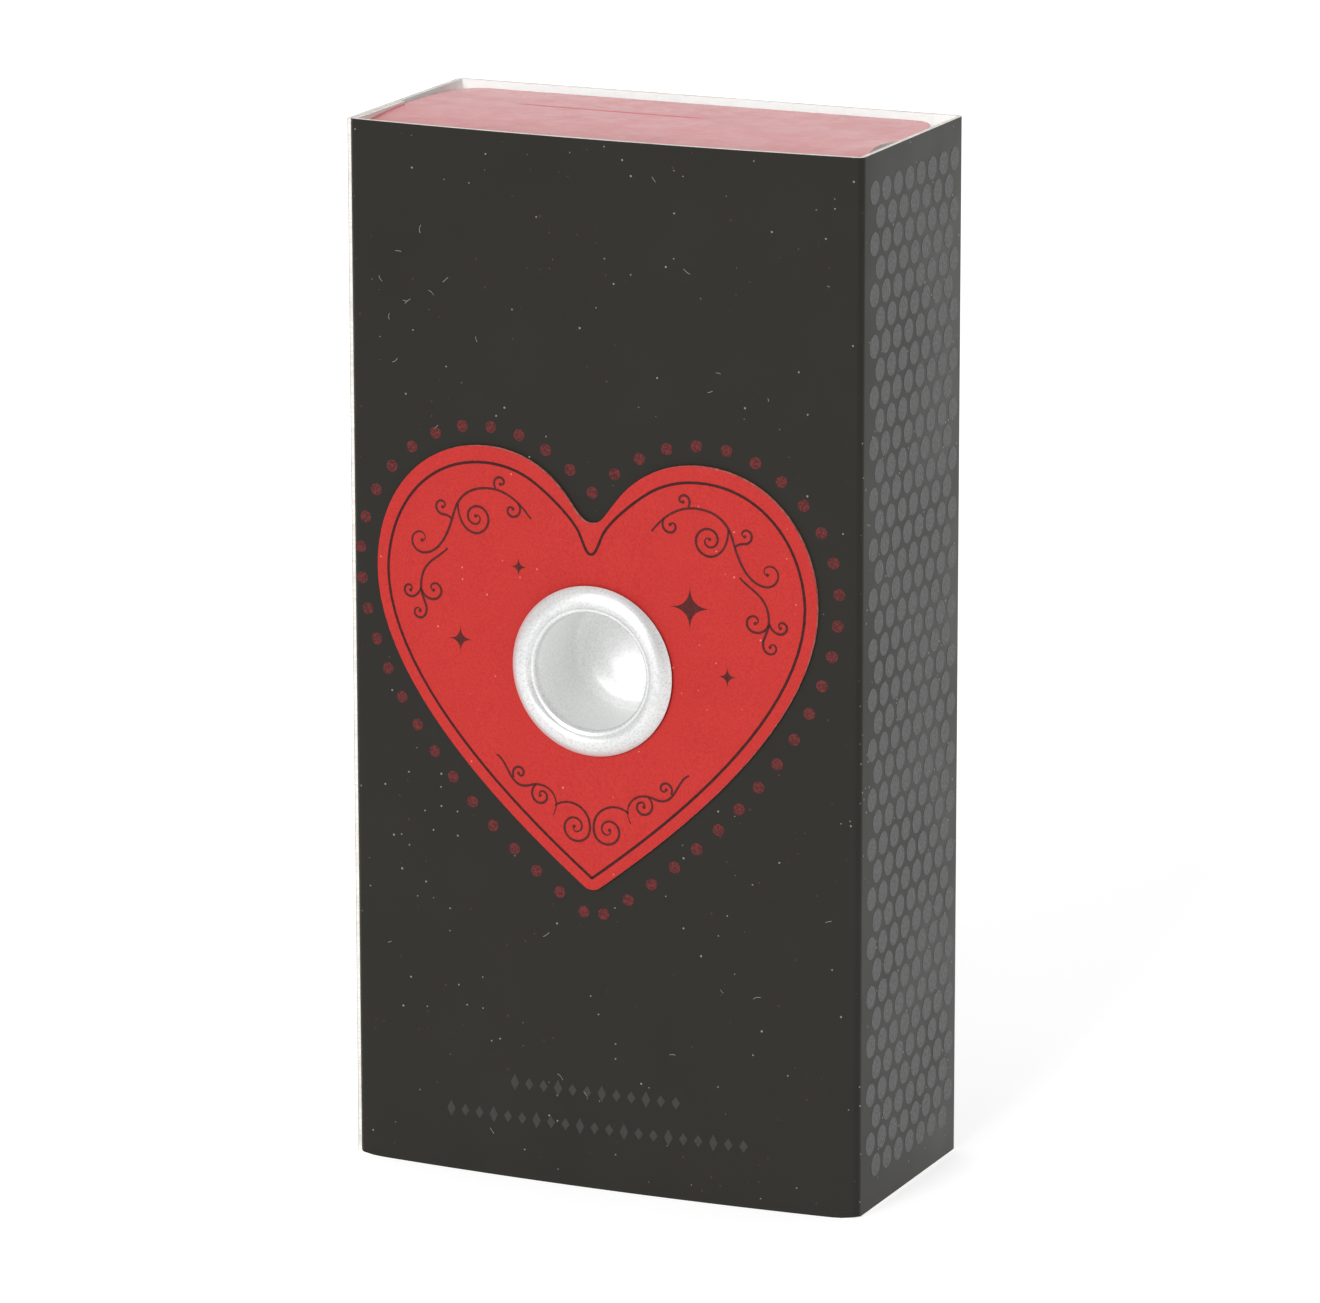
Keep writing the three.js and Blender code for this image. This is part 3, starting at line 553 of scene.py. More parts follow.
def pale_floor():
    """A light table: pale and lit from below, so that shadows stay soft."""
    look = Look("pale_floor", 0.7, Specular_IOR_Level=0.1, Emission_Strength=0.63)
    look.shader.inputs["Emission Color"].default_value = (1, 1, 1, 1)
    cloud = look.noise(60, 3)
    look.colour(look.mix(cloud, (0.53, 0.53, 0.53), (0.57, 0.57, 0.57)))
    return look.material


# ------------ slip-case


def arc(x, y, radius, start, end, steps):
    """Points on an arc, each with its outward normal. Angles are in degrees."""
    made = []
    for i in range(steps + 1):
        angle = math.radians(start + (end - start) * i / steps)
        normal = Vector((math.cos(angle), math.sin(angle)))
        made.append((Vector((x, y)) + normal * radius, normal))
    return made


def case_path():
    """The slip-case's outside in plan, with normals: left, back, right, bowed front, then the glue flap."""
    inner = HALF_WIDTH - FOLD
    glue_x = -HALF_WIDTH + BOARD + GLUE_GAP
    fold_x = -HALF_WIDTH + BOARD * RAW_EDGE_SHARE + GLUE_GAP
    glue_centre = fold_x + GLUE_FOLD
    front_angle = math.degrees(math.atan2(-1, bow_normal(inner).x))
    left = Vector((-1, 0))
    path = [(Vector((-HALF_WIDTH, RAW_EDGE_Y)), left)]
    path.append((Vector((-HALF_WIDTH, RAW_EDGE_Y + RAW_EDGE_TAPER)), left))
    path += arc(-inner, BACK - FOLD, FOLD, 180, 90, 6)
    path += arc(inner, BACK - FOLD, FOLD, 90, 0, 6)
    path += arc(inner, bow(inner) + FOLD, FOLD, 0, front_angle, 8)
    steps = round(2 * inner) - 2
    for i in range(1, steps):
        x = inner - i * (inner - glue_centre) / steps
        path.append((Vector((x, bow(x))), bow_normal(x)))
    path += arc(glue_centre, bow(glue_centre) + GLUE_FOLD, GLUE_FOLD, -180 - front_angle, -180, 6)
    path.append((Vector((glue_x, RAW_EDGE_Y + RAW_EDGE_TAPER)), left))
    path.append((Vector((glue_x, GLUE_FLAP_END)), left))
    return path


def crushed(point):
    """How far the foot is pushed up where the case has been stood on its folds."""
    reach = 1.4
    depth = 0.3
    nearest = min(
        (point - Vector((x, y))).length for x in (-HALF_WIDTH, HALF_WIDTH) for y in (-BACK, BACK)
    )
    return depth * math.exp(-((nearest / reach) ** 2))


def slip_case(print_look, inside_look, edge_look):
    """One strip of board: a printed skin, a white core and cut edges at the top, foot and both ends."""
    levels = (0, PRINT, BOARD)
    solid = Solid()
    points = []
    path = case_path()
    for i, (point, normal) in enumerate(path):
        for level in levels:
            inward = point - normal * level * (1 if i else RAW_EDGE_SHARE)
            points.append((*inward, crushed(point)))
            points.append((*inward, TOP))
    per_step = 2 * len(levels)
    outer, skin, inner = 0, 2, 4
    solid.add(points, [])

    def bands(low_a, low_b, kind):
        for a in range(0, (len(path) - 1) * per_step, per_step):
            b = a + per_step
            solid.span([(a + low_a, b + low_a, b + low_b, a + low_b)], kind)

    bands(outer, outer + 1, 0)
    bands(inner, inner + 1, 1)
    for side in (0, 1):
        bands(outer + side, skin + side, 0)
        bands(skin + side, inner + side, 2)
    for end in (0, (len(path) - 1) * per_step):
        solid.span([(outer, outer + 1, skin + 1, skin)], 0, end)
        solid.span([(skin, skin + 1, inner + 1, inner)], 2, end)
    return solid.piece("slip_case", [print_look, inside_look, edge_look])


# ------------ heart card and its printing

HEART_START = (0, 74.5)
HEART_CURVES = (
    ((1.3, 74.5), (1.75, 75.7), (3.0, 77.2)),
    ((5.05, 79.9), (8.3, 81.8), (12.5, 81.8)),
    ((20.5, 81.8), (25.9, 75.2), (25.9, 67.2)),
    ((25.9, 54.2), (9.5, 40.8), (0.9, 34.2)),
    ((0.6, 33.98), (0.3, 33.9), (0, 33.9)),
)


def half_heart(steps=22):
    """The right half of the heart's outline from the notch to the tip, about its own middle."""
    return chain(HEART_START, HEART_CURVES, steps)


def outward_normals(half):
    """The normals of an outline's right half, from its neighbouring points."""
    last = len(half) - 1
    made = []
    for i in range(len(half)):
        heading = (half[min(i + 1, last)] - half[max(i - 1, 0)]).normalized()
        made.append(Vector((-heading.y, heading.x)))
    return made


def mirrored(half):
    """A closed outline from its right half, moved to the heart's middle."""
    left = [Vector((-p.x, p.y)) for p in half[-2:0:-1]]
    return [p + Vector((HEART_X, 0)) for p in half + left]


def circle(x, z, radius, steps):
    angles = (2 * math.pi * i / steps for i in range(steps))
    return [Vector((x + radius * math.cos(a), z + radius * math.sin(a))) for a in angles]


def heart_card(face_look, edge_look):
    """The card follows the bowed front. Its front edge is pressed round."""
    strip = 2
    mesh = bmesh.new()
    edges = []
    for loop in (mirrored(half_heart()), circle(CUP_X, CUP_Z, CASE_HOLE, HOLE_STEPS)):
        verts = [mesh.verts.new((p.x, 0, p.y)) for p in loop]
        edges += [mesh.edges.new((a, b)) for a, b in zip(verts, verts[1:] + verts[:1])]
    bmesh.ops.triangle_fill(mesh, edges=edges, use_beauty=True)
    x = math.ceil(HEART_LOW.x)
    while x < HEART_HIGH.x:
        everything = list(mesh.verts) + list(mesh.edges) + list(mesh.faces)
        bmesh.ops.bisect_plane(mesh, geom=everything, plane_co=(x, 0, 0), plane_no=(1, 0, 0))
        x += strip
    front = list(mesh.verts)
    made = bmesh.ops.extrude_face_region(mesh, geom=list(mesh.faces), use_keep_orig=True)
    back = [item for item in made["geom"] if isinstance(item, bmesh.types.BMVert)]
    for verts, lift in ((front, CARD_FRONT), (back, CARD_BACK)):
        for vert in verts:
            vert.co.y = bow(vert.co.x) - lift
    bmesh.ops.recalc_face_normals(mesh, faces=mesh.faces)
    front = set(front)
    rim = [
        edge
        for edge in mesh.edges
        if edge.verts[0] in front and edge.verts[1] in front and edge.calc_face_angle(0) > 1
    ]
    bmesh.ops.bevel(
        mesh, geom=rim, offset=CARD_EDGE, segments=3, profile=0.5, affect="EDGES", clamp_overlap=True
    )
    for face in mesh.faces:
        face.material_index = 0 if abs(face.normal.y) > 0.97 else 1
    for vert in mesh.verts:
        vert.co *= MM
    data = bpy.data.meshes.new("heart_card")
    mesh.to_mesh(data)
    mesh.free()
    return show(data, "heart_card", [face_look, edge_look])


def on_front(point, lift):
    """A point of the front view, lifted from the slip-case's bowed face."""
    return (point.x, bow(point.x) - lift, point.y)


def ribbon(solid, path, half_width, base, closed=False, kind=0):
    """A thin band of ink along a line in the front view.

    half_width takes the share of the line that is passed, 0 to 1, and gives the band's half width there.
    """
    count = len(path)
    points = []
    for i, point in enumerate(path):
        after = path[(i + 1) % count] if closed or i + 1 < count else point
        before = path[i - 1] if closed or i > 0 else point
        heading = (after - before).normalized()
        side = Vector((-heading.y, heading.x)) * half_width(i / (count - 1))
        for corner, lift in ((side, -INK_SINK), (side, INK_RISE), (-side, INK_RISE), (-side, -INK_SINK)):
            points.append(on_front(point + corner, base + lift))
    faces = []
    for i in range(count if closed else count - 1):
        a = 4 * i
        b = 4 * ((i + 1) % count)
        faces += [(a + k, b + k, b + (k + 1) % 4, a + (k + 1) % 4) for k in range(4)]
    if not closed:
        last = 4 * (count - 1)
        faces += [(0, 1, 2, 3), (last + 3, last + 2, last + 1, last)]
    solid.add(points, faces, kind)


def patch(solid, outline, middle, base, kind=0):
    """A small flat mark of ink, filled from its middle."""
    count = len(outline)
    lifts = (base + INK_RISE, base - INK_SINK)
    points = [on_front(p, lift) for lift in lifts for p in outline]
    points += [on_front(middle, lift) for lift in lifts]
    faces = []
    for i in range(count):
        j = (i + 1) % count
        faces += [(i, j, 2 * count), (count + j, count + i, 2 * count + 1), (i, count + i, count + j, j)]
    solid.add(points, faces, kind)


def dot(solid, middle, radius, base, kind=0):
    patch(solid, circle(middle.x, middle.y, radius, 20), middle, base, kind)


def spiral(middle, start, turns, end_radius=0.16):
    """A line that winds in from start round middle. Turns above 0 wind against the clock."""
    arm = Vector(start) - Vector(middle)
    angle = math.atan2(arm.y, arm.x)
    steps = max(12, round(abs(turns) * 30))
    made = []
    for i in range(1, steps + 1):
        t = i / steps
        radius = arm.length * (1 - t) + end_radius * t
        turned_by = angle + 2 * math.pi * turns * t
        made.append(Vector(middle) + Vector((math.cos(turned_by), math.sin(turned_by))) * radius)
    return made


# Each scroll: the start of a stem, its curves, then a spiral's middle and turns if the stem ends in one.
# Points are in the right half of the heart, about its middle.
UPPER_SCROLLS = (
    ((7.1, 74.3), (((8.6, 76.3), (10.4, 77.3), (12.3, 77.2)), ((14.6, 77.1), (15.9, 75.9), (16.4, 74.1)),
                   ((16.9, 72.4), (17.9, 69.4), (20.2, 69.3))), (20.4, 70.8), 0.95),
    ((15.9, 75.2), (((15.9, 73.4), (15.0, 72.1), (13.7, 72.1)),), (13.7, 73.85), -1.55),
    ((16.6, 73.3), (((16.9, 73.7), (17.4, 73.8), (17.8, 73.8)),), (17.8, 74.75), 0.95),
    ((11.3, 77.3), (), (10.7, 77.95), 0.9),
    ((8.6, 75.9), (), (9.35, 75.1), 1.0),
)
LOWER_SCROLLS = (
    ((17.2, 70.1), (((18.3, 68.8), (20.6, 68.4), (20.5, 65.4)), ((20.4, 64.2), (19.6, 63.4), (19.9, 62.7))),
     (20.8, 62.75), 0.95),
    ((20.5, 65.4), (((20.3, 64.5), (19.6, 64.2), (19.0, 64.25)),), (18.9, 65.4), -0.95),
    ((20.55, 65.3), (((20.8, 64.6), (21.4, 64.2), (21.9, 64.3)),), (21.9, 65.1), 0.9),
)
FOOT_SCROLLS = (
    ((11.4, 47.8), (((10.2, 47.4), (9.9, 45.0), (8.5, 44.7)), ((7.4, 44.5), (7.0, 45.3), (5.6, 44.9)),
                    ((4.2, 44.4), (3.9, 42.9), (4.6, 41.8))), None, 0),
    ((9.3, 45.5), (), (8.6, 46.05), 1.05),
    ((6.7, 44.9), (), (6.0, 43.85), -1.2),
    ((4.35, 42.9), (((3.4, 43.7), (1.5, 43.7), (0.55, 42.2)), ((0.1, 41.4), (0.1, 40.3), (0.6, 39.7))),
     (1.95, 40.75), 1.45),
)
SPARKLES = ((-8.6, 68.9, 1.1), (-15.7, 60.2, 1.6), (11.5, 66.3, 2.6), (15.8, 59.1, 1.2))

NOTCH_START = (0, 71.1)
NOTCH_BEND = ((0.5, 71.1), (0.75, 71.9), (1.3, 73.2))
NOTCH_SIDE = (1.85, 74.5)

CURVE_STEPS = 14
OUTLINE_HALF_WIDTH = 0.155
SCROLL_HALF_WIDTH = 0.14
SCROLL_END = 0.19


def scroll_width(t):
    return SCROLL_HALF_WIDTH * (0.45 + 0.55 * math.sin(math.pi * min(1, 0.12 + t)) ** 0.5)


def draw_scroll(solid, start, curves, middle, turns, side):
    line = chain(start, curves, CURVE_STEPS)
    if middle is not None:
        line += spiral(middle, line[-1], turns)
    line = [Vector((HEART_X + side * p.x, p.y)) for p in line]
    ribbon(solid, line, scroll_width, CARD_FRONT, kind=1)
    if middle is not None:
        dot(solid, line[-1], SCROLL_END, CARD_FRONT + INK_RISE, 1)


def sparkle(solid, x, z, radius):
    """A four-pointed star: a superellipse with hollow sides and long thin arms."""
    steps = 56
    sharpness = 4.2
    middle = Vector((HEART_X + x, z))
    outline = []
    for i in range(steps):
        angle = 2 * math.pi * i / steps
        arm = [math.copysign(abs(part) ** sharpness, part) for part in (math.cos(angle), math.sin(angle))]
        outline.append(middle + Vector(arm) * radius)
    patch(solid, outline, middle, CARD_FRONT, 1)


def inner_outline():
    """The printed line inside the heart's edge, further in at the top, with a narrow V under the notch."""
    side_inset = 1.35
    top_extra = 0.45
    joins_at = 6.3
    join_reach = 2.4
    half = half_heart()
    made = []
    for point, normal in zip(half, outward_normals(half)):
        made.append(point - normal * (side_inset + top_extra * max(0, normal.y)))
    near_tip, above_tip = -8, -24
    tip = made[near_tip]
    slope = (made[above_tip] - tip) / (made[above_tip].x - tip.x)
    foot = Vector((0, (tip - slope * tip.x).y))
    inside = [p for p in made if p.y > tip.y and (p.y < CUP_Z or p.x > joins_at)]
    joined = inside[0]
    before_join = joined - (inside[1] - joined).normalized() * join_reach
    notch = chain(NOTCH_START, (NOTCH_BEND, (NOTCH_SIDE, tuple(before_join), tuple(joined))), CURVE_STEPS)
    return notch + inside[1:] + [foot]


def heart_print(line_look, scroll_look):
    solid = Solid()
    ribbon(solid, mirrored(inner_outline()), lambda t: OUTLINE_HALF_WIDTH, CARD_FRONT, closed=True)
    for side in (-1, 1):
        for scrolls in (UPPER_SCROLLS, LOWER_SCROLLS, FOOT_SCROLLS):
            for start, curves, middle, turns in scrolls:
                draw_scroll(solid, start, curves, middle, turns, side)
    for x, z, radius in SPARKLES:
        sparkle(solid, x, z, radius)
    return solid.piece("heart_print", [line_look, scroll_look])


# The line of the dots round the heart: its right half, from above the notch to below the tip.
RING_START = (0, 77.8)
RING_CURVES = (
    ((3.0, 80.5), (6.9, 83.9), (13.0, 83.9)),
    ((21.2, 83.9), (28.2, 76.0), (28.2, 68.2)),
    ((28.2, 52.0), (9.4, 35.9), (0, 30.5)),
)


def along(line, distance):
    """The point at a distance along a line."""
    for a, b in zip(line, line[1:]):
        step = (b - a).length
        if distance <= step:
            return a.lerp(b, distance / step)
        distance -= step
    return line[-1]


def ring_of_dots(look):
    """Evenly spaced dots: one above the notch, then pairs, the last two astride the tip."""
    count = 26
    tip_share = 0.4
    radius = 0.66
    line = chain(RING_START, RING_CURVES, 40)
    length = sum((b - a).length for a, b in zip(line, line[1:]))
    pitch = length / (count - 1 + tip_share)
    solid = Solid()
    for i in range(count):
        spot = along(line, i * pitch)
        for side in (1, -1) if i else (1,):
            dot(solid, Vector((HEART_X + side * spot.x, spot.y)), radius, 0)
    return solid.piece("ring_of_dots", [look])


def foot_marks(look):
    """Two faint rows of lozenges near the foot."""
    rows = ((10.9, 9.6), (6.9, 17.6))
    pitch = 1.75
    tall, low, wide = 0.95, 0.7, 0.5
    solid = Solid()
    for z, reach in rows:
        count = round(2 * reach / pitch) + 1
        for i in range(count):
            middle = Vector((HEART_X + (i - (count - 1) / 2) * pitch, z))
            reach_up = tall if i % 3 == 0 else low
            tips = ((wide, 0), (0, reach_up), (-wide, 0), (0, -reach_up))
            outline = [middle + Vector(tip) for tip in tips]
            patch(solid, outline, middle, 0)
    return solid.piece("foot_marks", [look])


# ------------ side dots and lint


def side_dots(name, side, look):
    """Staggered rows of gloss dots: eight and seven in turn."""
    pitch = 3.165
    row_pitch = pitch * math.sqrt(3) / 2
    radius = 1.27
    first_row = TOP - 4.2
    last_row = 4.5
    middle_y = 0.3
    steps = 24
    face = side * HALF_WIDTH
    solid = Solid()
    row = 0
    while first_row - row * row_pitch > last_row:
        z = first_row - row * row_pitch
        count = 8 - row % 2
        for i in range(count):
            y = middle_y + (i - (count - 1) / 2) * pitch
            rim = circle(y, z, radius, steps)
            outer = [(face + side * INK_RISE, p.x, p.y) for p in rim]
            inner = [(face - side * INK_SINK, p.x, p.y) for p in rim]
            faces = [tuple(range(steps)), tuple(range(2 * steps - 1, steps - 1, -1))]
            faces += [(k, steps + k, steps + (k + 1) % steps, (k + 1) % steps) for k in range(steps)]
            solid.add(outer + inner, faces)
        row += 1
    return solid.piece(name, [look])


def front_lint(look):
    """Short dust fibres scattered on the front, clear of the heart."""
    chance = random.Random(41)
    fibres = 26
    half_width = 0.028
    steps = 8
    margin = 2
    heart_middle, heart_reach, heart_foot = 58, 31, 30
    widest = round(HALF_WIDTH) - margin
    solid = Solid()
    while fibres:
        start = Vector((chance.uniform(-widest, widest), chance.uniform(margin, TOP - margin)))
        angle = chance.uniform(0, math.pi)
        length = chance.uniform(0.25, 0.95)
        bend = chance.uniform(-1.4, 1.4)
        if start.y > heart_foot and (start - Vector((HEART_X, heart_middle))).length < heart_reach:
            continue
        line = [start]
        for _ in range(steps):
            angle += bend / steps
            line.append(line[-1] + Vector((math.cos(angle), math.sin(angle))) * length / steps)
        ribbon(solid, line, lambda t: half_width, 0.0)
        fibres -= 1
    return solid.piece("front_lint", [look])


# ------------ winding cup


def behind(plane, profile):
    """Profile points given as (radius, depth behind a plane), as (radius, y)."""
    return [(radius, plane + depth) for radius, depth in profile]


def winding_cup(look):
    """Turned cup: rolled flange, straight bore and dished end, on its arbor."""
    bore = 6.45
    bore_depth = 12
    crest = 7.75
    body = 7.65
    arbor, arbor_end = 2, 1.5
    step_y = 7.4
    chamfer = 0.2
    bore_end = CUP_FRONT + bore_depth
    dish = [(0, 2.1), (2.1, 1.8), (3.9, 1.0), (5.2, -0.1), (5.75, -0.45), (bore, -1.5)]
    inside = rounded(behind(bore_end, dish) + [(bore, CUP_FRONT + 1)], 0.5, 4)
    mouth = [(bore + 0.08, 0.6), (bore + 0.3, 0.42), (bore + 0.5, 0.44)]
    roll = [(crest - 0.6, 0.24), (crest - 0.3, 0.06), (crest, 0)]
    roll += [(crest + 0.5, 0.12), (crest + 0.95, 0.36), (crest + 1.35, 0.68), (FLANGE, 1)]
    neck = [(FLANGE - 0.1, 1.1), (body + 0.1, 1.1), (body, 1.2)]
    back = [(body, -0.4), (6.9, 0.7), (5, 2), (2.6, 2.7), (arbor, 2.9)]
    shaft = [(arbor, step_y), (arbor_end, step_y + 0.05), (arbor_end, CUP_END - chamfer)]
    shaft += [(arbor_end - chamfer, CUP_END), (0, CUP_END)]
    outside = behind(CUP_FRONT, mouth + roll + neck) + behind(bore_end, back) + shaft
    return turned("turned_cup", rounded(inside + outside, 0.14, 3), [look], CUP_X, CUP_Z)


# ------------ carton and flap


def carton_plan():
    """The carton's outside in plan, with normals: its side walls are drawn in at their middles."""
    corner_spread = 0.45
    x = CARTON_HIGH.x + corner_spread
    y = CARTON_HIGH.y
    draw = 0.55
    corner = 0.6
    steps = 14
    path = []
    for turn in range(4):
        centre_x = (x - corner) * (1 if turn in (0, 3) else -1)
        centre_y = (y - corner) * (1 if turn in (0, 1) else -1)
        path += arc(centre_x, centre_y, corner, turn * 90, turn * 90 + 90, 5)
        if turn in (0, 2):
            continue
        side = -1 if turn == 1 else 1
        for i in range(1, steps):
            v = -side * (-1 + 2 * i / steps)
            inset = draw * (1 - v * v)
            path.append((Vector((side * (x - inset), v * (y - corner))), Vector((side, 0))))
    return path


def carton_body(red_look, inside_look, edge_look):
    """Four walls and a bottom panel: red print outside, white inside, pale cut top edges."""
    path = carton_plan()
    top = FLAP_LOW.z - WALL_DROP
    solid = Solid()
    count = len(path)
    points = []
    for point, normal in path:
        inner = point - normal * CARD
        points += [(*point, 0.0), (*point, top), (*inner, top), (*inner, CARD)]
    solid.add(points, [])
    for k, kind in ((0, 0), (1, 2), (2, 1)):
        for i in range(count):
            a = 4 * i
            b = 4 * ((i + 1) % count)
            solid.span([(a + k, b + k, b + k + 1, a + k + 1)], kind)
    solid.span([[4 * i for i in range(count)]], 0)
    solid.span([[4 * i + 3 for i in reversed(range(count))]], 1)
    return solid.piece("carton_body", [red_look, inside_look, edge_look])


def dust_flap(name, side, red_look, edge_look):
    """A short flap folded in from a side wall under the top flap."""
    wall_x = CARTON_HIGH.x - 0.1
    top = FLAP_LOW.z - 0.06
    low = FLAP_LOW.z - WALL_DROP
    fold, fold_steps = 0.5, 6
    reach = 10
    sag = 0.1
    side_gap = 0.6
    taper = 2.0
    y = CARTON_HIGH.y - CARD - side_gap
    outer = [(wall_x, low)]
    for k in range(1, fold_steps + 1):
        angle = math.radians(90 / fold_steps * k)
        outer.append((wall_x - fold + fold * math.cos(angle), top - fold + fold * math.sin(angle)))
    outer.append((wall_x - reach, top - sag))
    inner = [(wall_x - reach, top - sag - CARD)]
    inner += [(wall_x - CARD, top - CARD - 0.05), (wall_x - CARD, low - 0.3)]
    profile = outer + inner
    solid = Solid()
    points = []
    for end in (-1, 1):
        for px, pz in profile:
            along_flap = (wall_x - px) / reach
            points.append((side * px, end * (y - taper * along_flap), pz))
    count = len(profile)
    faces = [(i, (i + 1) % count, count + (i + 1) % count, count + i) for i in range(count)]
    solid.add(points, faces[: len(outer) - 1], 0)
    solid.span(faces[len(outer) - 1 :], 1)
    solid.span([list(range(count)), [count + i for i in reversed(range(count))]], 1)
    return solid.piece(name, [red_look, edge_look])


def flap_half_width(y):
    """The flap narrows in a quarter of an ellipse to its back edge."""
    corner_x = 3.6
    corner_y = 7.5
    into = max(0, y - (FLAP_HIGH.y - corner_y)) / corner_y
    return FLAP_HALF - corner_x + corner_x * math.sqrt(max(0, 1 - into * into))


def hump(value, start, end):
    """Rises smoothly from 0 at start to 1 halfway and back to 0 at end."""
    share = (value - start) / (end - start)
    return math.sin(math.pi * share) ** 2 if 0 < share < 1 else 0


def flap_rows():
    """Places from front to back: closer at the fold, at the crease and round the back corners."""
    front = FLAP_LOW.y
    back = FLAP_HIGH.y
    crease = back - 8.4
    fold_zone, crease_zone = 1.4, 0.6
    fold_step, crease_step = 0.15, 0.12
    middle_steps, back_steps = 14, 22
    middle_from = front + fold_zone
    middle_length = crease - crease_zone - middle_from
    back_from = crease + crease_zone
    near_fold = [front + fold_step * i for i in range(7)]
    middle = [middle_from + middle_length * i / middle_steps for i in range(middle_steps + 1)]
    at_crease = [crease + crease_step * i for i in range(-3, 4)]
    shares = [math.sin(math.pi / 2 * i / back_steps) for i in range(back_steps + 1)]
    to_back = [back_from + (back - back_from) * share for share in shares]
    return near_fold + middle + at_crease + to_back, crease


def top_flap(red_look, inside_look, edge_look):
    """The flap springs up towards its back and left, and bows in at the right over the drawn-in wall."""
    rows, crease = flap_rows()
    columns = 56
    front = FLAP_LOW.y
    back = FLAP_HIGH.y
    roll, roll_drop = 1.1, 0.42
    arch = 0.22
    rise = 0.28
    left_lift = 0.3
    right_lift = 0.3
    right_bow = 0.85
    lens_from, lens_to = front + 0.6, front + 15
    crease_depth, crease_width = 0.09, 0.16
    crease_from, crease_to = -0.66, 0.2

    def height(x, y):
        across = x / FLAP_HALF
        lengthwise = (y - front) / (back - front)
        z = FLAP_LOW.z + CARD + rise * lengthwise
        z += arch * math.sin(math.pi * lengthwise ** 0.7) * (1 - 0.3 * across * across)
        z += left_lift * max(0, -across) ** 2 * math.sin(math.pi * lengthwise ** 0.8)
        z += right_lift * max(0, (across - 0.8) / 0.2) ** 2 * hump(y, lens_from, lens_to)
        if y < front + roll:
            t = (front + roll - y) / roll
            z -= roll_drop * (1 - math.sqrt(max(0, 1 - t * t)))
        along_crease = min(1, max(0, min(across - crease_from, crease_to - across) / 0.1))
        return z - crease_depth * along_crease * math.exp(-(((y - crease) / crease_width) ** 2))

    top = []
    for y in rows:
        half = flap_half_width(y)
        for i in range(columns + 1):
            across = -1 + 2 * i / columns
            x = half * across - right_bow * max(0, across) ** 4 * hump(y, lens_from, lens_to)
            top.append(Vector((x, y, height(half * across, y))))
    low = [p - Vector((0, 0, CARD)) for p in top]
    wide = columns + 1
    last = (len(rows) - 1) * wide
    shift = len(top)
    solid = Solid()
    solid.add(top + low, [])
    upper = []
    lower = []
    for r in range(len(rows) - 1):
        for i in range(columns):
            a = r * wide + i
            upper.append((a, a + 1, a + wide + 1, a + wide))
            lower.append((shift + a, shift + a + wide, shift + a + wide + 1, shift + a + 1))
    rim = [(i, i + 1, shift + i + 1, shift + i) for i in range(columns)]
    rim += [(last + i + 1, last + i, shift + last + i, shift + last + i + 1) for i in range(columns)]
    for r in range(len(rows) - 1):
        a = r * wide
        b = a + columns
        rim += [(a + wide, a, shift + a, shift + a + wide), (b, b + wide, shift + b + wide, shift + b)]
    for faces, kind in ((upper, 0), (lower, 1), (rim, 2)):
        solid.span(faces, kind)
    return solid.piece("flap_panel", [red_look, inside_look, edge_look])


# ------------ movement, from the CAD nodes

SLOT_OF = {row["node"]: row["material_slot"] for row in frame["record"]["subparts"]}
EDGE_BREAK = 0.06


def dress_movement(looks):
    """Gives each carried-over CAD node its material, with its edges slightly broken."""
    for name, node in frame["nodes"].items():
        node.data.materials.clear()
        node.data.materials.append(looks[SLOT_OF[name]])
        weld = node.modifiers.new("weld", "WELD")
        weld.merge_threshold = 0.001 * MM
        bevel = node.modifiers.new("broken_edges", "BEVEL")
        bevel.width = EDGE_BREAK * MM
        bevel.segments = 2
        bevel.limit_method = "ANGLE"
        bevel.angle_limit = math.radians(40)
        bevel.harden_normals = True


# ------------ stage, light and camera


def stage():
    half = 4.0
    level = -0.00002
    corner_signs = ((-1, -1), (1, -1), (1, 1), (-1, 1))
    mesh = bpy.data.meshes.new("floor")
    mesh.from_pydata([(x * half, y * half, level) for x, y in corner_signs], [], [(0, 1, 2, 3)])
    mesh.materials.append(pale_floor())
    floor = bpy.data.objects.new("floor", mesh)
    bpy.context.scene.collection.objects.link(floor)


def direction(azimuth, elevation):
    """A unit vector from the object towards a bearing, in degrees.

    Azimuth 0 is in front of the object and 90 to its right.
    """
    a = math.radians(azimuth)
    e = math.radians(elevation)
    return Vector((math.sin(a) * math.cos(e), -math.cos(a) * math.cos(e), math.sin(e)))


def light_room():
    """A graded studio sky: bright behind and to the left, dark in front and to the right."""
    darkest, brightest = 0.06, 0.86
    dark_until, bright_from = -0.5, 0.7
    bright_side = direction(-140, 30)
    world = bpy.data.worlds.new("studio")
    bpy.context.scene.world = world
    world.use_nodes = True
    nodes = world.node_tree.nodes
    links = world.node_tree.links
    where = nodes.new("ShaderNodeTexCoord").outputs["Generated"]
    towards = nodes.new("ShaderNodeVectorMath")
    towards.operation = "DOT_PRODUCT"
    towards.inputs[1].default_value = bright_side
    fade = nodes.new("ShaderNodeMapRange")
    for socket, value in ((1, dark_until), (2, bright_from), (3, darkest), (4, brightest)):
        fade.inputs[socket].default_value = value
    links.new(where, towards.inputs[0])
    links.new(towards.outputs["Value"], fade.inputs[0])
    background = nodes["Background"]
    background.inputs["Color"].default_value = (1, 1, 1, 1)
    links.new(fade.outputs[0], background.inputs["Strength"])


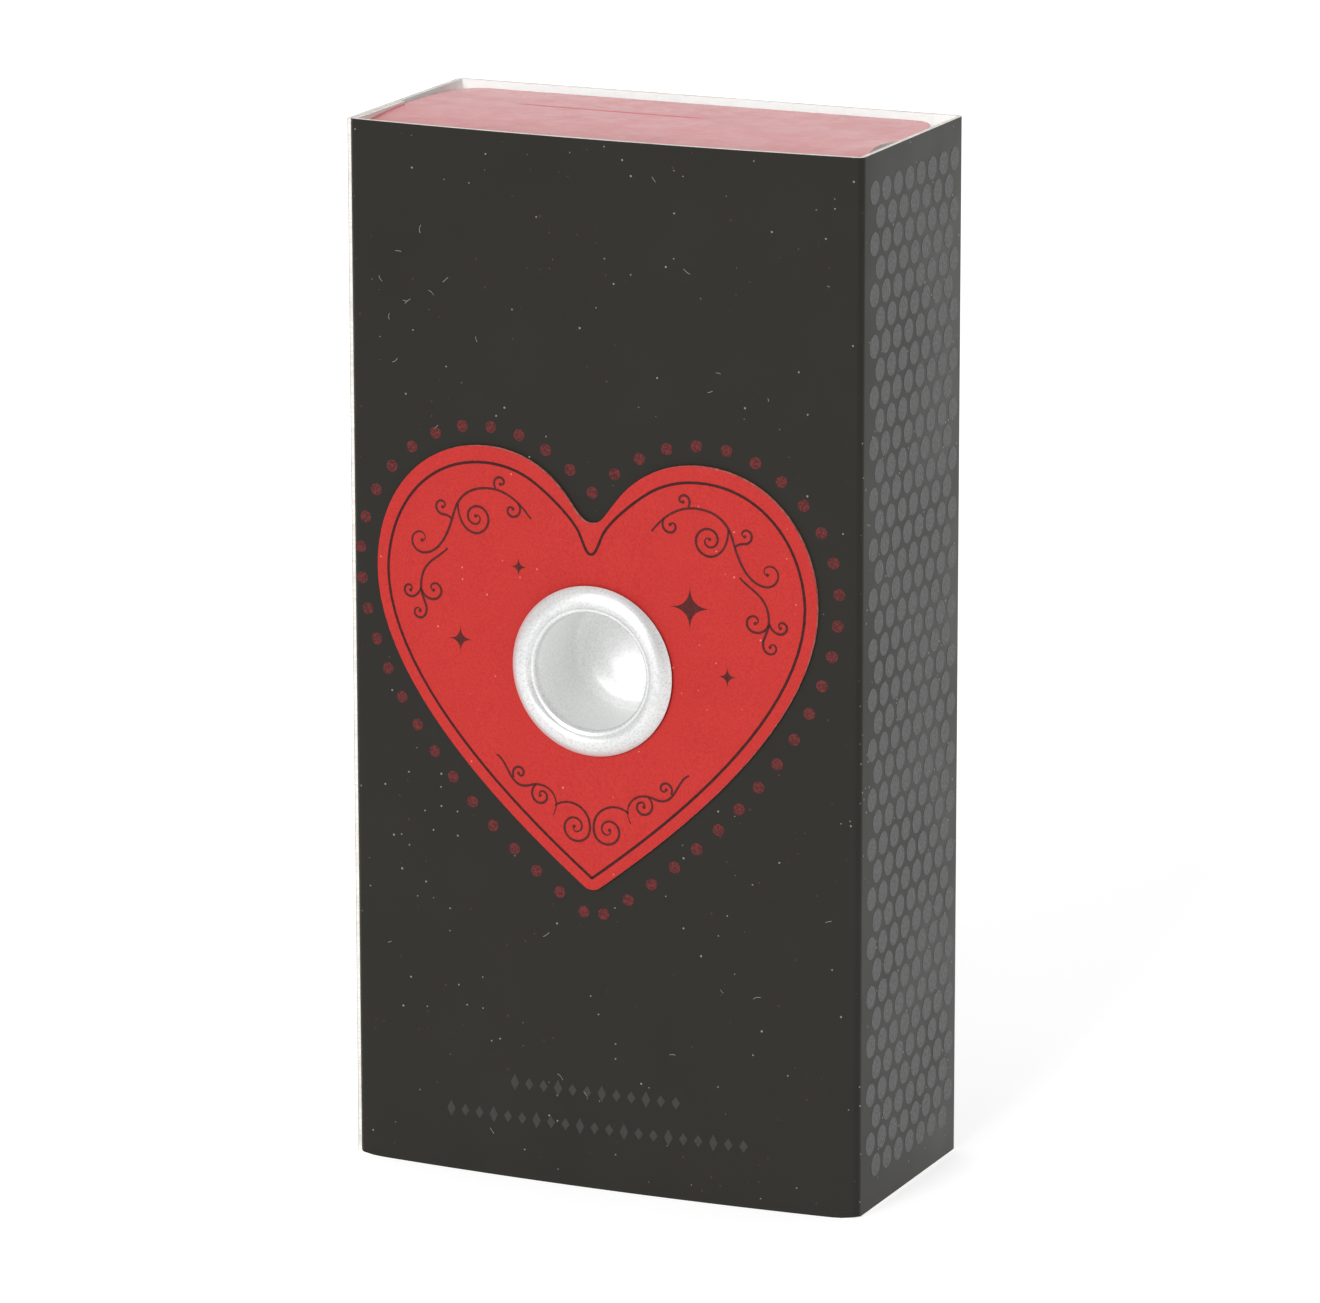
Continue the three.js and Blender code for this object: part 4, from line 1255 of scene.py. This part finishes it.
def sun(name, azimuth, elevation, strength, spread):
    data = bpy.data.lights.new(name, "SUN")
    data.energy = strength
    data.angle = math.radians(spread)
    lamp = bpy.data.objects.new(name, data)
    lamp.rotation_mode = "QUATERNION"
    lamp.rotation_quaternion = direction(azimuth, elevation).to_track_quat("Z", "Y")
    bpy.context.scene.collection.objects.link(lamp)


def camera():
    """The photo's camera, fitted to the box's corners and the cup's flange."""
    azimuth, elevation, roll = 24.164, 13.829, -0.083
    distance_in_heights = 7.4797
    right_in_heights, up_in_heights = 0.0033, -0.0089
    height = TOP * MM
    back = direction(azimuth, elevation)
    right = Vector((0, 0, 1)).cross(back).normalized()
    up = back.cross(right)
    position = Vector((0, 0, height / 2)) + back * distance_in_heights * height
    position += right * right_in_heights * height + up * up_in_heights * height
    rolled = math.radians(roll)
    across = right * math.cos(rolled) + up * math.sin(rolled)
    upward = up * math.cos(rolled) - right * math.sin(rolled)
    data = bpy.data.cameras.new("camera")
    data.sensor_width = 36
    data.lens = 217.1
    data.clip_start = 0.01
    view = bpy.data.objects.new("camera", data)
    view.matrix_world = Matrix((across, upward, back)).transposed().to_4x4()
    view.location = position
    bpy.context.scene.collection.objects.link(view)
    bpy.context.scene.camera = view


# ------------ assembly


def attach(piece, body, stands_for=()):
    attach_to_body(piece, body)
    if stands_for:
        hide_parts(*stands_for)


black = printed_black()
white = white_board()
edge = cut_board()
red = red_card()
red_print = carton_red()
aluminium = blasted_aluminium()
gloss = spot_gloss()
looks = {
    "black_board": black,
    "red_card": red,
    "carton_red": red_print,
    "grey_board": grey_board(),
    "satin_aluminium": aluminium,
    "cast_zinc": cast_zinc(),
    "brass": metal("satin_brass", (0.46, 0.30, 0.10), (0.66, 0.47, 0.19), 0.3, (1, 1, 6)),
    "steel": metal("bright_steel", (0.42, 0.43, 0.44), (0.60, 0.61, 0.62), 0.26, (5, 1, 1)),
    "spring_steel": blued_steel(),
    "black_plastic": black_plastic(),
}

case = slip_case(black, white, edge)
case = cut(case, hole_cutter("case_cutter", CASE_HOLE, edge))
attach(case, "case", ["sleeve"])
attach(heart_card(red, card_edge()), "case", ["heart_panel"])
attach(heart_print(line_ink(), scroll_ink()), "case")
attach(ring_of_dots(ring_ink()), "case")
attach(foot_marks(faint_ink()), "case")
attach(side_dots("side_dots_right", 1, gloss), "case")
attach(side_dots("side_dots_left", -1, gloss), "case")
attach(front_lint(lint()), "case")
attach(winding_cup(aluminium), "winding", ["winding_cup"])

carton = carton_body(red_print, white, edge)
carton = cut(carton, hole_cutter("carton_cutter", CARTON_HOLE, edge))
attach(carton, "case", ["inner_carton"])
attach(dust_flap("dust_flap_right", 1, red_print, edge), "case")
attach(dust_flap("dust_flap_left", -1, red_print, edge), "case")
attach(top_flap(red_print, white, edge), "flap", ["top_flap"])
dress_movement(looks)

stage()
light_room()
sun("key", -6, 26, 2.35, 24)
sun("fill", 75, 22, 0.45, 50)
camera()
bpy.context.scene.view_settings.view_transform = "Standard"
